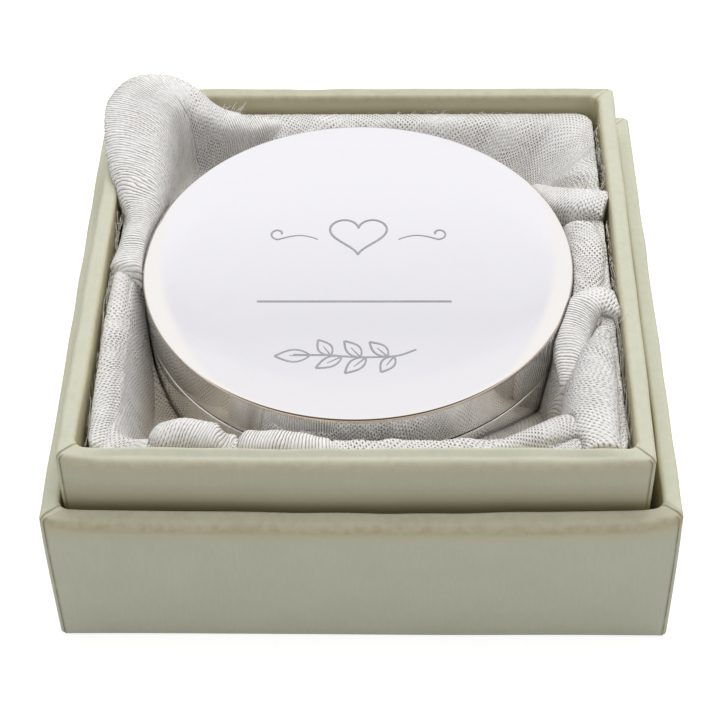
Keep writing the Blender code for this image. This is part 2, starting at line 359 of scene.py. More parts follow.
def settle(item: Item, material: Material, body: Body, slot: Slot, *nodes: str) -> Item:
    """Finish a piece and report it.

    Args:
        item: The piece.
        material: Its finish.
        body: The body that it rides on.
        slot: Its slot in the record.
        nodes: The CAD nodes that it stands for.

    Returns:
        The piece.
    """
    item.data.materials.clear()
    item.data.materials.append(material)
    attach(item, body.value)
    if nodes:
        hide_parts(*nodes)
    LOG.info("%s: %d vertices on %s", item.name, len(item.data.vertices), body.value)
    return item


# Shader nodes


@dataclass
class Web:
    """Adds and joins the nodes of one shader tree. A value may be a number or an output."""

    tree: bpy.types.NodeTree

    def add(self, kind: str, inputs: dict | None = None, **settings: object) -> bpy.types.Node:
        """Add a node.

        Args:
            kind: Type of the node, without its ShaderNode prefix.
            inputs: Values for its inputs, by name or number.
            settings: Properties of the node.

        Returns:
            The new node.
        """
        node = self.tree.nodes.new("ShaderNode" + kind)
        for name, value in settings.items():
            setattr(node, name, value)
        self.fill(node, inputs or {})
        return node

    def fill(self, node: bpy.types.Node, inputs: dict) -> None:
        """Join outputs to a node's inputs, or set the inputs' own values.

        Args:
            node: The node.
            inputs: Values by name or number. A colour is given without its alpha.
        """
        for name, value in inputs.items():
            socket = node.inputs[name]
            if isinstance(value, Socket):
                self.tree.links.new(value, socket)
            else:
                socket.default_value = (*value, 1.0) if socket.type == "RGBA" else value

    def dress(self, inputs: dict[str, object]) -> None:
        """Feed the material's Principled shader."""
        self.fill(self.tree.nodes["Principled BSDF"], inputs)

    def place(self, tree: bpy.types.NodeTree, **inputs: object) -> bpy.types.NodeOutputs:
        """Put a shared effect in a material, with the material's own values."""
        return self.add("Group", inputs, node_tree=tree).outputs

    def math(self, kind: str, *values: object) -> Socket:
        """Add a Math node and return its result."""
        return self.add("Math", dict(enumerate(values)), operation=kind).outputs[0]

    def times(self, first: object, second: object) -> Socket:
        """Product of two values."""
        return self.math("MULTIPLY", first, second)

    def line(self, value: object, slope: float, start: float) -> Socket:
        """Straight line through start: slope times the value, plus start."""
        return self.math("MULTIPLY_ADD", value, slope, start)

    def mix(self, factor: object, first: object, second: object) -> Socket:
        """Mix two colours and return the result."""
        return self.add("Mix", {0: factor, 6: first, 7: second}, data_type="RGBA").outputs[2]

    def ramp(self, value: object, low: float, high: float) -> Socket:
        """Map a value from the range low to high onto 0 to 1, with smooth ends."""
        inputs = {"Value": value, "From Min": low, "From Max": high}
        return self.add("MapRange", inputs, interpolation_type="SMOOTHSTEP").outputs[0]

    def noise(self, vector: object, scale: object, detail: float = 3.0) -> Socket:
        """Add a Noise texture and return its value."""
        return self.add("TexNoise", {"Vector": vector, "Scale": scale, "Detail": detail}).outputs[0]

    def bump(self, height: object, distance: float, strength: float = 1.0) -> Socket:
        """Normal that a height bends."""
        inputs = {"Height": height, "Distance": distance, "Strength": strength}
        return self.add("Bump", inputs).outputs[0]

    def where(self) -> Socket:
        """Object coordinates."""
        return self.add("TexCoord").outputs["Object"]

    def mark(self, name: str) -> Socket:
        """Number painted on the piece."""
        return self.add("Attribute", attribute_name=name).outputs["Fac"]


def group(
    name: str, numbers: dict[str, float], results: tuple[str, ...]
) -> tuple[Web, bpy.types.NodeOutputs, bpy.types.Node]:
    """Start a shader node group that reads a Vector.

    Args:
        name: Name of the group.
        numbers: Default value by name of its other inputs.
        results: Names of its outputs, which are values.

    Returns:
        The group's web, what its input node gives, and its output node.
    """
    tree = bpy.data.node_groups.new(name, "ShaderNodeTree")
    tree.interface.new_socket("Vector", in_out="INPUT", socket_type="NodeSocketVector")
    for key, value in numbers.items():
        socket = tree.interface.new_socket(key, in_out="INPUT", socket_type="NodeSocketFloat")
        socket.default_value = value
    for key in results:
        tree.interface.new_socket(key, in_out="OUTPUT", socket_type="NodeSocketFloat")
    return Web(tree), tree.nodes.new("NodeGroupInput").outputs, tree.nodes.new("NodeGroupOutput")


@dataclass
class Effects:
    """Node groups that several materials share."""

    grain: bpy.types.NodeTree = field(init=False)
    weave: bpy.types.NodeTree = field(init=False)
    dust: bpy.types.NodeTree = field(init=False)

    def __post_init__(self) -> None:
        """Build every group once."""
        self.make_grain()
        self.make_weave()
        self.make_dust()

    def make_grain(self) -> None:
        """Fibrous grain: fine noise stretched along Z, over broad blotches."""
        web, given, made = group(
            "fibre_grain", {"Scale": 1.0, "Stretch": 0.2, "Blotch": 0.1}, ("Tone", "Height")
        )
        parts = web.add("SeparateXYZ", {0: given["Vector"]}).outputs
        squeezed = web.times(parts[2], given["Stretch"])
        drawn = web.add("CombineXYZ", {0: parts[0], 1: parts[1], 2: squeezed}).outputs[0]
        fine = web.noise(drawn, given["Scale"], 4.0)
        broad = web.noise(given["Vector"], web.times(given["Scale"], given["Blotch"]))
        tone = web.math("ADD", web.times(fine, 0.5), web.times(broad, 0.5))
        web.fill(made, {"Tone": tone, "Height": fine})
        self.grain = web.tree

    def make_weave(self) -> None:
        """Open plain weave on flat cloth places.

        Slits lie at whole counts of U times Threads, and cross slits at whole counts of 0.62 of V
        times Threads, staggered from slit to slit. Noise bends both. Comb, from -1 to 1, lets one
        of the two lots of threads stand out.
        """
        web, given, made = group(
            "open_weave",
            {"Threads": 2650.0, "Wander": 0.8, "Comb": 0.0, "Open": 0.84},
            ("Height", "Gap", "Tone"),
        )
        place, comb = given["Vector"], given["Comb"]
        parts = web.add("SeparateXYZ", {0: place}).outputs
        bend = web.math("SUBTRACT", web.noise(place, 420.0, 2.0), 0.5)
        drift = web.math("SUBTRACT", web.noise(place, 90.0, 1.0), 0.5)
        sway = web.math("ADD", web.times(bend, given["Wander"]), web.times(drift, 9.0))
        first, second = (
            web.math("ADD", web.times(part, given["Threads"]), sway) for part in parts[:2]
        )
        stagger = web.times(web.math("PINGPONG", web.math("ROUND", first), 1.0), 0.5)
        second = web.math("ADD", web.times(second, 0.62), stagger)
        thread, cross = (
            web.math("ABSOLUTE", web.math("SINE", web.times(way, math.pi)))
            for way in (first, second)
        )
        slit = web.times(web.math("SUBTRACT", 1.0, thread), web.line(comb, 0.40, 0.80))
        hole = web.times(web.math("SUBTRACT", 1.0, cross), web.line(comb, -0.50, 0.65))
        loose = web.math("ADD", web.ramp(web.noise(place, 260.0), 0.30, 0.70), 0.35)
        gap = web.times(web.ramp(web.math("ADD", slit, hole), 0.60, 1.10), loose)
        relief = web.math("ADD", thread, web.times(cross, web.line(comb, -0.35, 0.45)))
        results = {"Gap": web.times(gap, given["Open"]), "Tone": web.noise(place, 1500.0, 2.0)}
        web.fill(made, {"Height": relief, **results})
        self.weave = web.tree

    def make_dust(self) -> None:
        """Sparse soft specks and smudges: the top end of a noise."""
        web, given, made = group("dust", {"Scale": 100.0, "Amount": 0.1}, ("Mask",))
        specks = web.ramp(web.noise(given["Vector"], given["Scale"], 4.0), 0.60, 0.78)
        web.fill(made, {"Mask": web.times(specks, given["Amount"])})
        self.dust = web.tree


def start_material(name: str) -> tuple[Material, Web]:
    """Start a material.

    Args:
        name: Name of the material.

    Returns:
        The material and its web.
    """
    material = bpy.data.materials.new(name)
    material.use_nodes = True
    return material, Web(material.node_tree)


# Finishes


@dataclass(frozen=True)
class PaperFinish:
    """Smooth sage paper: fibre, painted shade and painted warm shade where light falls less, worn
    creases and old glue.
    """

    base: Colour = (0.590, 0.595, 0.474)
    blotch: Colour = (0.560, 0.568, 0.450)
    painted_warm_shade: Colour = (0.585, 0.520, 0.330)
    crease: Colour = (0.720, 0.700, 0.560)
    glue: Colour = (0.190, 0.145, 0.065)
    painted_shade_colour: Colour = (0.345, 0.300, 0.172)
    roughness: float = 0.46
    fibre_scale: float = 2600.0
    bump_height: float = 0.000012

    def build(self, effects: Effects) -> Material:
        """Make the material from the shared grain and the wrap's own marks.

        Args:
            effects: The shared groups.

        Returns:
            The material.
        """
        material, web = start_material(Slot.PAPER.value)
        where = web.where()
        grain = web.place(effects.grain, Vector=where, Scale=self.fibre_scale, Blotch=0.05)
        colour = web.mix(web.ramp(grain["Tone"], 0.35, 0.65), self.base, self.blotch)
        # Painted warm shade: the paper turns warmer and darker under the rims, on the faces that
        # look in and in the gap between the trays.
        colour = web.mix(web.mark("painted_warm_shade"), colour, self.painted_warm_shade)
        # Painted shade: the paper turns darker on the front faces, on the front and back rims and
        # in the gap between the trays.
        colour = web.mix(web.mark("painted_shade"), colour, self.painted_shade_colour)
        worn = web.times(web.mark("crease"), web.ramp(web.noise(where, 900.0), 0.25, 0.65))
        colour = web.mix(web.times(worn, 0.5), colour, self.crease)
        spots = web.ramp(web.noise(where, 500.0, 4.0), 0.30, 0.60)
        marked = web.times(web.mark("glue"), web.line(spots, 0.35, 0.60))
        web.dress({
            "Base Color": web.mix(marked, colour, self.glue),
            "Roughness": web.line(grain["Tone"], 0.12, self.roughness),
            "Specular IOR Level": 0.42,
            "Normal": web.bump(grain["Height"], self.bump_height),
        })
        return material


@dataclass(frozen=True)
class BoardFinish:
    """Raw board, tape, card or thread: flecked fibre without a coat."""

    slot: Slot
    base: Colour
    fleck: Colour
    roughness: float = 0.88
    fibre_scale: float = 1500.0
    bump_height: float = 0.00003

    def build(self, effects: Effects) -> Material:
        """Make the material from the shared grain and dust.

        Args:
            effects: The shared groups.

        Returns:
            The material.
        """
        material, web = start_material(self.slot.value)
        shared = {"Vector": web.where(), "Scale": self.fibre_scale}
        grain = web.place(effects.grain, **shared, Stretch=0.6, Blotch=0.08)
        dust = web.place(effects.dust, **shared, Amount=0.5)
        flecks = web.math("ADD", web.ramp(grain["Tone"], 0.42, 0.60), dust["Mask"])
        web.dress({
            "Base Color": web.mix(flecks, self.base, self.fleck),
            "Roughness": web.line(flecks, -0.06, self.roughness),
            "Normal": web.bump(grain["Height"], self.bump_height),
        })
        return material


@dataclass(frozen=True)
class GauzeFinish:
    """Open white gauze: slubby threads, with a dark warm colour in the slits between them that is
    painted shade seen through the weave, and painted shade deep in the nest and in its creases.
    """

    thread: Colour = (0.930, 0.924, 0.918)
    shade: Colour = (0.850, 0.836, 0.818)
    slit: Colour = (0.255, 0.215, 0.165)
    painted_deep_shade: Colour = (0.510, 0.412, 0.240)
    roughness: float = 0.72
    threads_in_metre: float = 2650.0
    bump_height: float = 0.00012

    def build(self, effects: Effects) -> Material:
        """Make the material on the cloth's own flat map.

        Args:
            effects: The shared groups.

        Returns:
            The material.
        """
        material, web = start_material(Slot.GAUZE.value)
        flat = web.add("UVMap", uv_map="cloth").outputs[0]
        weave = web.place(
            effects.weave, Vector=flat, Threads=self.threads_in_metre, Comb=web.mark("comb")
        )
        colour = web.mix(web.ramp(weave["Tone"], 0.3, 0.7), self.thread, self.shade)
        # Painted shade: the cloth turns darker and warmer the lower it lies in the nest and in its
        # creases and valleys.
        colour = web.mix(web.times(web.mark("painted_pocket_shade"), 0.52), colour, self.painted_deep_shade)
        web.dress({
            # The weave's gaps take a dark warm colour: painted shade seen through the open cloth.
            "Base Color": web.mix(weave["Gap"], colour, self.slit),
            "Roughness": self.roughness,
            "Specular IOR Level": 0.25,
            "Sheen Weight": 0.25,
            "Sheen Roughness": 0.4,
            "Normal": web.bump(weave["Height"], self.bump_height, 0.8),
        })
        return material


@dataclass(frozen=True)
class SilverFinish:
    """Mirror-polished plate with faint polishing lines and handling smudges."""

    base: Colour = (0.915, 0.905, 0.893)
    smudge: Colour = (0.880, 0.862, 0.835)
    worn: Colour = (0.560, 0.400, 0.270)
    roughness: float = 0.035
    smudge_scale: float = 90.0
    line_scale: float = 900.0
    bump_height: float = 0.0000015

    def build(self, effects: Effects) -> Material:
        """Make the material from the shared dust and grain, worn warm at the lid's edge.

        Args:
            effects: The shared groups.

        Returns:
            The material.
        """
        material, web = start_material(Slot.SILVER.value)
        where = web.where()
        dust = web.place(effects.dust, Vector=where, Scale=self.smudge_scale, Amount=0.5)
        grain = web.place(effects.grain, Vector=where, Scale=self.line_scale, Stretch=1.0)
        colour = web.mix(dust["Mask"], self.base, self.smudge)
        web.dress({
            "Base Color": web.mix(web.mark("edge"), colour, self.worn),
            "Roughness": web.line(dust["Mask"], 0.05, self.roughness),
            "Metallic": 1.0,
            "Normal": web.bump(grain["Height"], self.bump_height, 0.3),
        })
        return material


@dataclass(frozen=True)
class EngravedFinish:
    """Frosted grey of a finely engraved line."""

    base: Colour = (0.350, 0.348, 0.366)
    bright: Colour = (0.440, 0.438, 0.460)
    roughness: float = 0.55
    grain_scale: float = 4000.0

    def build(self, effects: Effects) -> Material:
        """Make the material from the shared grain.

        Args:
            effects: The shared groups.

        Returns:
            The material.
        """
        material, web = start_material("engraved_line")
        grain = web.place(effects.grain, Vector=web.where(), Scale=self.grain_scale, Stretch=1.0)
        tone = web.ramp(grain["Tone"], 0.35, 0.65)
        web.dress({
            "Base Color": web.mix(tone, self.base, self.bright),
            "Roughness": web.line(tone, 0.1, self.roughness),
            "Metallic": 0.35,
        })
        return material


@dataclass(frozen=True)
class VelvetFinish:
    """Short black pile that brightens at a slant."""

    base: Colour = (0.016, 0.015, 0.020)
    brushed: Colour = (0.034, 0.032, 0.041)
    roughness: float = 0.95
    pile_scale: float = 5200.0
    bump_height: float = 0.00015

    def build(self, effects: Effects) -> Material:
        """Make the material from the shared grain.

        Args:
            effects: The shared groups.

        Returns:
            The material.
        """
        material, web = start_material(Slot.VELVET.value)
        grain = web.place(
            effects.grain, Vector=web.where(), Scale=self.pile_scale, Stretch=1.0, Blotch=0.03
        )
        web.dress({
            "Base Color": web.mix(web.ramp(grain["Tone"], 0.38, 0.62), self.base, self.brushed),
            "Roughness": self.roughness,
            "Sheen Weight": 0.6,
            "Sheen Roughness": 0.35,
            "Normal": web.bump(grain["Height"], self.bump_height),
        })
        return material


# Sub-assemblies


@dataclass
class PaperTray:
    """One paper-covered tray: board, corner tapes and a wrap with soft rims and tucked corners.

    The fields without a value say how this tray differs from the other: how far its front wall
    bows, sags and shifts, how far its two front corners are pulled back, how much painted shade
    its front and its front rim get, and how much painted warm shade that rim gets. Paper below
    the shut level gets painted shade, darker and warmer, for the gap between the trays.
    """

    prefix: str
    body: Body
    seed: int
    front_bow: float
    front_sag: float
    front_shift: float
    corner_pull: Point
    front_painted_shade: float
    rim_painted_shade: float
    rim_painted_warm: float
    shut_level: float = -1.0
    shut_blend: float = 0.006
    shut_painted_warm: float = 0.6
    shut_painted_shade: float = 0.34
    back_rim_painted_shade: float = 0.42
    other_rim_painted_warm: float = 0.3
    inside_painted_warm: float = 0.75
    wall: float = 0.00215
    board: float = 0.0014
    paper: float = 0.00015
    foot_round: float = 0.0005
    corner_round: float = 0.00052
    inner_corner_round: float = 0.0012
    rim_rounds: Point = (0.00055, 0.00062)
    rim_band: float = 0.004
    front_rim_rounds: Point = (0.00035, 0.00095)
    front_rim_fall: float = 0.00045
    front_rim_run: float = 0.0055
    front_corner_fall: float = 0.25
    front_reach: Point = (0.0045, 0.0020)
    pull_reach: Point = (0.0085, 0.0080)
    pull_width: float = 0.0030
    run_inset: float = 0.0007
    wobble: float = 0.00005
    ripple_reach: float = 0.0018
    most_proud: float = 0.0001
    seam_step: float = 0.00011
    sheet_edge: float = 0.00014
    tuck_step: float = 0.00005
    tuck_reach: float = 0.0030
    rim_reach: float = 0.0013
    crease_band: Point = (0.0004, 0.0006)
    painted_warm_band: Point = (0.0006, 0.0016)
    rim_shade_band: Point = (0.0016, 0.0012)
    core_relief: float = 0.00006
    corner_cuts: tuple[float, ...] = (0.0006, 0.0012, 0.0020, 0.0028)
    front_cuts: tuple[float, ...] = (0.0008, 0.0026, 0.0035, 0.0044, 0.0060)
    rim_cuts: tuple[float, ...] = (0.0015, 0.003, 0.005, 0.0075, 0.011)

    def __post_init__(self) -> None:
        """Take the wrap's size and place from the frame."""
        self.middle, self.half, self.low, self.high = place_of(self.prefix + "_wrap")

    def profile(self, rounds: Point, fall: float) -> np.ndarray:
        """The wrap's section, up the inside, over the rim, down the outside and underneath.

        Args:
            rounds: Radii at the inner and the outer edge of the rim.
            fall: How much lower the rim's outer edge lies.

        Returns:
            Places across and up, as many for every pair of radii.
        """
        inside, outside, (near, far) = self.half - self.wall, self.half, rounds
        top, bottom, foot = self.high, self.low, self.foot_round
        turn_in = place_of(self.prefix + "_board")[2] + self.board + self.paper
        band, lower = top - self.rim_band, top - fall
        return np.concatenate([
            line((inside, turn_in), (inside, band), 6),
            line((inside, band), (inside, top - near), 10),
            arc((inside + near, top - near), near, 180.0, 90.0, 9)[:-1],
            line((inside + near, top), (outside - far, lower), 4),
            arc((outside - far, lower - far), far, 90.0, 0.0, 12)[:-1],
            line((outside, lower - far), (outside, band), 14),
            line((outside, band), (outside, bottom + foot), 16),
            arc((outside - foot, bottom + foot), foot, 0.0, -90.0, 6)[:-1],
            line((outside - foot, bottom), (0.0, bottom), 3),
            [(0.0, bottom)],
        ])

    def columns(self) -> tuple[np.ndarray, np.ndarray]:
        """Places along one side and round its corner, closer where the paper is tucked.

        Returns:
            Shares of the straight run from -1 to 1, and turns into the corner from 0 to 1.
        """
        near = 1.0 - self.tuck_reach / (self.half - self.corner_round)
        half_side = np.concatenate([np.linspace(0.0, near, 24)[:-1], np.linspace(near, 1.0, 18)])
        share = np.concatenate([-half_side[::-1], half_side[1:]])
        turn = np.linspace(0.0, 1.0, 18)[1:-1]
        return np.append(share, np.ones(len(turn))), np.append(np.zeros(len(share)), turn)

    def warp(self, points: np.ndarray) -> np.ndarray:
        """Give the front wall the slight bow and sag of hand-made board.

        Formula: with h the share of the height and b = 1 - (x / half)^2, the front wall moves
        back by bow * h * (1 - b) and down by sag * h^2 * b, as far in as front_reach says. Its top
        corners are pulled back by pull * h^4, fading over the pull's width and reach. The whole
        tray is a little out of square: x grows by shift times the share of the way to the front.

        Args:
            points: Places, the last axis of size three.

        Returns:
            The moved places.
        """
        moved = points.copy()
        across = moved[..., 0] - self.middle[0]
        forward = self.middle[1] - moved[..., 1]
        front, pulled = (
            smooth_step((forward - self.half + depth) / blend)
            for depth, blend in (self.front_reach, self.pull_reach)
        )
        height = np.clip((moved[..., 2] - self.low) / (self.high - self.low), 0.0, 1.0)
        belly = np.clip(1.0 - np.square(across / self.half), 0.0, 1.0)
        moved[..., 1] += front * self.front_bow * height * (1.0 - belly)
        for side, pull in zip((-1.0, 1.0), self.corner_pull):
            near = hump(np.maximum(self.half - side * across, 0.0), self.pull_width)
            moved[..., 1] += pulled * pull * near * np.power(height, 4.0)
        moved[..., 2] -= front * self.front_sag * np.square(height) * belly
        moved[..., 0] += self.front_shift * (forward + self.half) / (2.0 * self.half)
        return moved

    def side_of_wrap(self, side: int) -> dict[str, np.ndarray]:
        """One side of the paper and the corner after it.

        Formula: the section is carried along the side and round the corner, and fades from the
        plain rim to the fallen one along the front. Each point then moves along its normal by a
        slow wobble, a step at the sheet's edges and a step along each mitre.

        Args:
            side: 0 for +X, 1 for the back, 2 for -X and 3 for the front.

        Returns:
            Places, and the marks that the paper's finish reads, from 0 to 1.
        """
        plain = self.profile(self.rim_rounds, 0.0)
        fallen = self.profile(self.front_rim_rounds, self.front_rim_fall)
        way = np.gradient(plain, axis=0)
        normals = np.stack([-way[:, 1], way[:, 0]], 1)
        normals /= np.linalg.norm(normals, axis=1, keepdims=True)
        out_normal, up_normal = normals[:, :1], normals[:, 1:]
        share, turn = self.columns()
        inside, depth = self.half - self.wall, self.high - plain[:, 1:]
        out = np.clip((plain[:, :1] - inside) / self.wall, 0.0, 1.0)
        corner = self.inner_corner_round + out * (self.corner_round - self.inner_corner_round)
        faces_out = smooth_step((out_normal - 0.3) / 0.5)
        on_rim = hump(depth, self.rim_reach) * (up_normal > -0.2)
        angle = turn * math.pi / 2.0

        faces_x, is_front, in_corner = side % 2 == 0, side == 3, turn > 0.0
        reach = np.where(in_corner, 0.0, (1.0 - np.abs(share)) * (self.half - self.run_inset))
        fade = smooth_step(reach / self.front_rim_run) * (1.0 - self.front_corner_fall)
        falls = (turn <= 0.5) if is_front else (turn > 0.5) & (side == 2)
        fade = np.where(falls, fade + self.front_corner_fall, 0.0)[None, :, None]
        section = plain[:, None, :] + (fallen - plain)[:, None, :] * fade
        across = np.maximum(section[..., 0], 1e-7)
        bend = np.minimum(corner, across)
        x = across - bend + bend * np.cos(angle)
        y = (across - bend) * share + bend * np.sin(angle)

        from_sheet = 1.0 - turn if faces_x else turn
        seam = -self.seam_step * smooth_step(1.15 - from_sheet) * in_corner * faces_out
        under = ((turn > 0.5) == faces_x) & (in_corner | (not faces_x))
        tuck = -self.tuck_step * under * hump(reach, self.tuck_reach) * on_rim * (1.0 - faces_out)
        place = (side + (share + 1.0) / 2.0 * 0.96 + turn * 0.04) / 4.0
        rows = np.linspace(0.0, 1.0, len(plain))[:, None]
        ripple = closed_noise(place, (7, 34), self.seed) * hump(depth, self.ripple_reach)
        slow = closed_noise(place + 0.13 * rows, (3, 11), self.seed + 1)
        move = seam + tuck + self.wobble * (0.7 * ripple + 0.6 * slow)
        move = np.minimum(move, self.most_proud) * (section[..., 0] > inside / 2.0)
        x = x + move * out_normal * np.cos(angle)
        y = y + move * out_normal * np.sin(angle)
        z = section[..., 1] + move * np.maximum(up_normal, 0.0)
        cosine, sine = ((1, 0), (0, 1), (-1, 0), (0, -1))[side]
        spot = np.stack([x * cosine - y * sine, x * sine + y * cosine, z], 2)
        spot[..., :2] += self.middle

        sheet_end = hump(np.where(in_corner, from_sheet * 0.001, reach), self.sheet_edge)
        sheet_end = sheet_end * (in_corner | (not faces_x)) * faces_out
        mitre = hump((turn - 0.5) * in_corner + (~in_corner), 0.06) * on_rim
        # Painted warm shade: a band under the rim, the faces that look in, and the paper below the
        # shut level.
        painted_warm_shade = self.rim_painted_warm if is_front else self.other_rim_painted_warm
        band = hump(depth - self.painted_warm_band[0], self.painted_warm_band[1]) * faces_out * painted_warm_shade
        inside_shade = smooth_step(-out_normal) * self.inside_painted_warm
        shut = smooth_step((self.shut_level - plain[:, 1:]) / self.shut_blend) * faces_out
        # Painted shade: the front and back rims, the front faces, and the paper below the shut
        # level.
        worn = self.rim_painted_shade if is_front else self.back_rim_painted_shade * (side == 1)
        worn = worn * smooth_step((self.rim_shade_band[0] - depth) / self.rim_shade_band[1])
        marks = {
            "crease": 0.6 * hump(depth - self.crease_band[0], self.crease_band[1]),
            "painted_warm_shade": band + inside_shade + self.shut_painted_warm * shut,
            "glue": sheet_end + 0.8 * mitre,
            "painted_shade": worn + self.front_painted_shade * is_front * faces_out + self.shut_painted_shade * shut,
        }
        held = {name: np.clip(mark, 0.0, 1.0) for name, mark in marks.items()}
        whole = {name: np.broadcast_to(mark, spot.shape[:2]) for name, mark in held.items()}
        return {"points": spot, **whole}

    def wrap(self, material: Material) -> None:
        """Make the paper from its four sides.

        Args:
            material: The paper.
        """
        sides = [self.side_of_wrap(side) for side in range(4)]
        joined = {name: np.concatenate([part[name] for part in sides], 1) for name in sides[0]}
        points = self.warp(joined.pop("points"))
        item = surface(self.prefix + "_tray_paper", points, around=True, flip=True)
        for name, values in joined.items():
            paint(item, name, values)
        thicken(item, self.paper)
        settle(item, material, self.body, Slot.PAPER, self.prefix + "_wrap")

    def cuts(self) -> tuple[Plane, ...]:
        """Planes over the flat faces of the core, where the warp bends them.

        Returns:
            A place and a normal for each plane.
        """
        x, y = self.middle
        offsets = [side * (self.half - d) for side in (-1.0, 1.0) for d in self.corner_cuts]
        offsets += [share * self.half for share in np.linspace(-0.84, 0.84, 9)]
        planes = [((x + offset, 0.0, 0.0), (1.0, 0.0, 0.0)) for offset in offsets]
        planes += [((0.0, y - self.half + d, 0.0), (0.0, 1.0, 0.0)) for d in self.front_cuts]
        planes += [((0.0, 0.0, self.high - d), (0.0, 0.0, 1.0)) for d in self.rim_cuts]
        return tuple(planes)

    def core(self, materials: dict[Slot, Material]) -> None:
        """Fit the board and its tapes under the wrap's softer shape.

        Formula: the CAD mesh is merged, cut and warped with the wall, its rim lies under the
        wrap's fallen rim, and what faces out lies a little further in.

        Args:
            materials: Material by slot.
        """
        rim = self.front_rim_rounds[1]
        top = self.high - self.front_rim_fall - 2.2 * self.paper - rim
        names = [n for n in frame["nodes"] if n.startswith(self.prefix) and not n.endswith("wrap")]
        for name in names:
            mesh = frame["nodes"][name].data.copy()
            merge(mesh, cuts=self.cuts())
            spot = places_in(mesh)
            local = spot[:, :2] - self.middle
            outward = np.abs(local).max(1)
            past = np.clip(outward - (self.half - rim), 0.0, rim)
            roof = top + np.sqrt(rim**2 - past**2)
            roof = np.where(outward > self.half - self.wall, roof, np.inf)
            spot[:, 2] = np.minimum(spot[:, 2], roof)
            outside = outward > self.half - 2.9 * self.paper
            relief = 1.0 - np.where(outside, self.core_relief / self.half, 0.0)
            spot[:, :2] = self.middle + local * relief[:, None]
            mesh.vertices.foreach_set("co", self.warp(spot).ravel())
            slot = Slot.TAPE if "tape" in name else Slot.BOARD
            settle(stand(name + "_fitted", mesh), materials[slot], self.body, slot, name)

    def build(self, materials: dict[Slot, Material]) -> None:
        """Make the whole tray."""
        self.wrap(materials[Slot.PAPER])
        self.core(materials)


@dataclass(frozen=True)
class Fold:
    """One fold of the gauze along a crest line.

    Each place of the crest gives x, y and the height of the crest, the fold's widths to the left
    and to the right of the line, and how far it leans away from the round box, in millimetres.
    Foot is the level of its feet, power the roundness of its section, swell how far its sides
    bulge, as a share of their width, and ends how softly it starts and stops. A turned fold shows
    the threads that run along it.
    """

    crest: tuple[tuple[float, float, float, float, float, float], ...]
    foot: float = 26.5
    power: float = 0.6
    swell: float = 0.3
    ends: float = 1.4
    turned: bool = False

    def cover(self, plan: np.ndarray) -> tuple[np.ndarray, np.ndarray, np.ndarray, np.ndarray]:
        """The fold's roof over the places of a plan.

        Formula: with t the distance from the crest line as a share of the width there, the roof
        is foot + (crest - foot) (1 - t^2)^power, and falls away past t = 1. Its sides bulge by
        swell * width * sin(pi t).

        Args:
            plan: Places seen from above, in millimetres.

        Returns:
            Roof levels, bulges, leans and directions of the crest line.
        """
        knots = smooth_line(self.crest, 5 * (len(self.crest) - 1) + 1)
        roof, lean = np.full(plan.shape[:2], -100.0), np.zeros(plan.shape[:2])
        bulge, axes = np.zeros(plan.shape), np.zeros(plan.shape)
        for count, (first, last) in enumerate(zip(knots[:-1], knots[1:])):
            length = np.linalg.norm(last[:2] - first[:2])
            axis = (last[:2] - first[:2]) / length
            normal = np.array([-axis[1], axis[0]])
            along, across = (plan - first[:2]) @ axis, (plan - first[:2]) @ normal
            held = np.clip(along / length, 0.0, 1.0)
            top, left, right, tilt = (first[k] + (last[k] - first[k]) * held for k in range(2, 6))
            width = np.where(across > 0.0, left, right)
            past = along - held * length
            free = (past < 0.0) & (count == 0) | (past > 0.0) & (count == len(knots) - 2)
            away = np.hypot(across / width, past / np.where(free, self.ends, width))
            inside = np.clip(1.0 - np.square(away), 0.0, 1.0)
            level = self.foot + (top - self.foot) * np.power(inside, self.power)
            level -= 4.0 * width * np.clip(away - 1.0, 0.0, None)
            higher = level > roof
            roof = np.where(higher, level, roof)
            share = np.clip(across / width, -1.0, 1.0)
            side = (self.swell * width * np.sin(math.pi * share) * (away < 1.0))[..., None] * normal
            bulge = np.where(higher[..., None], side, bulge)
            axes = np.where(higher[..., None], axis, axes)
            outer = smooth_step(0.5 + across / 1.8) * np.power(inside, 0.35)
            lean = np.where(higher, tilt * outer, lean)
        return roof, bulge, lean, axes


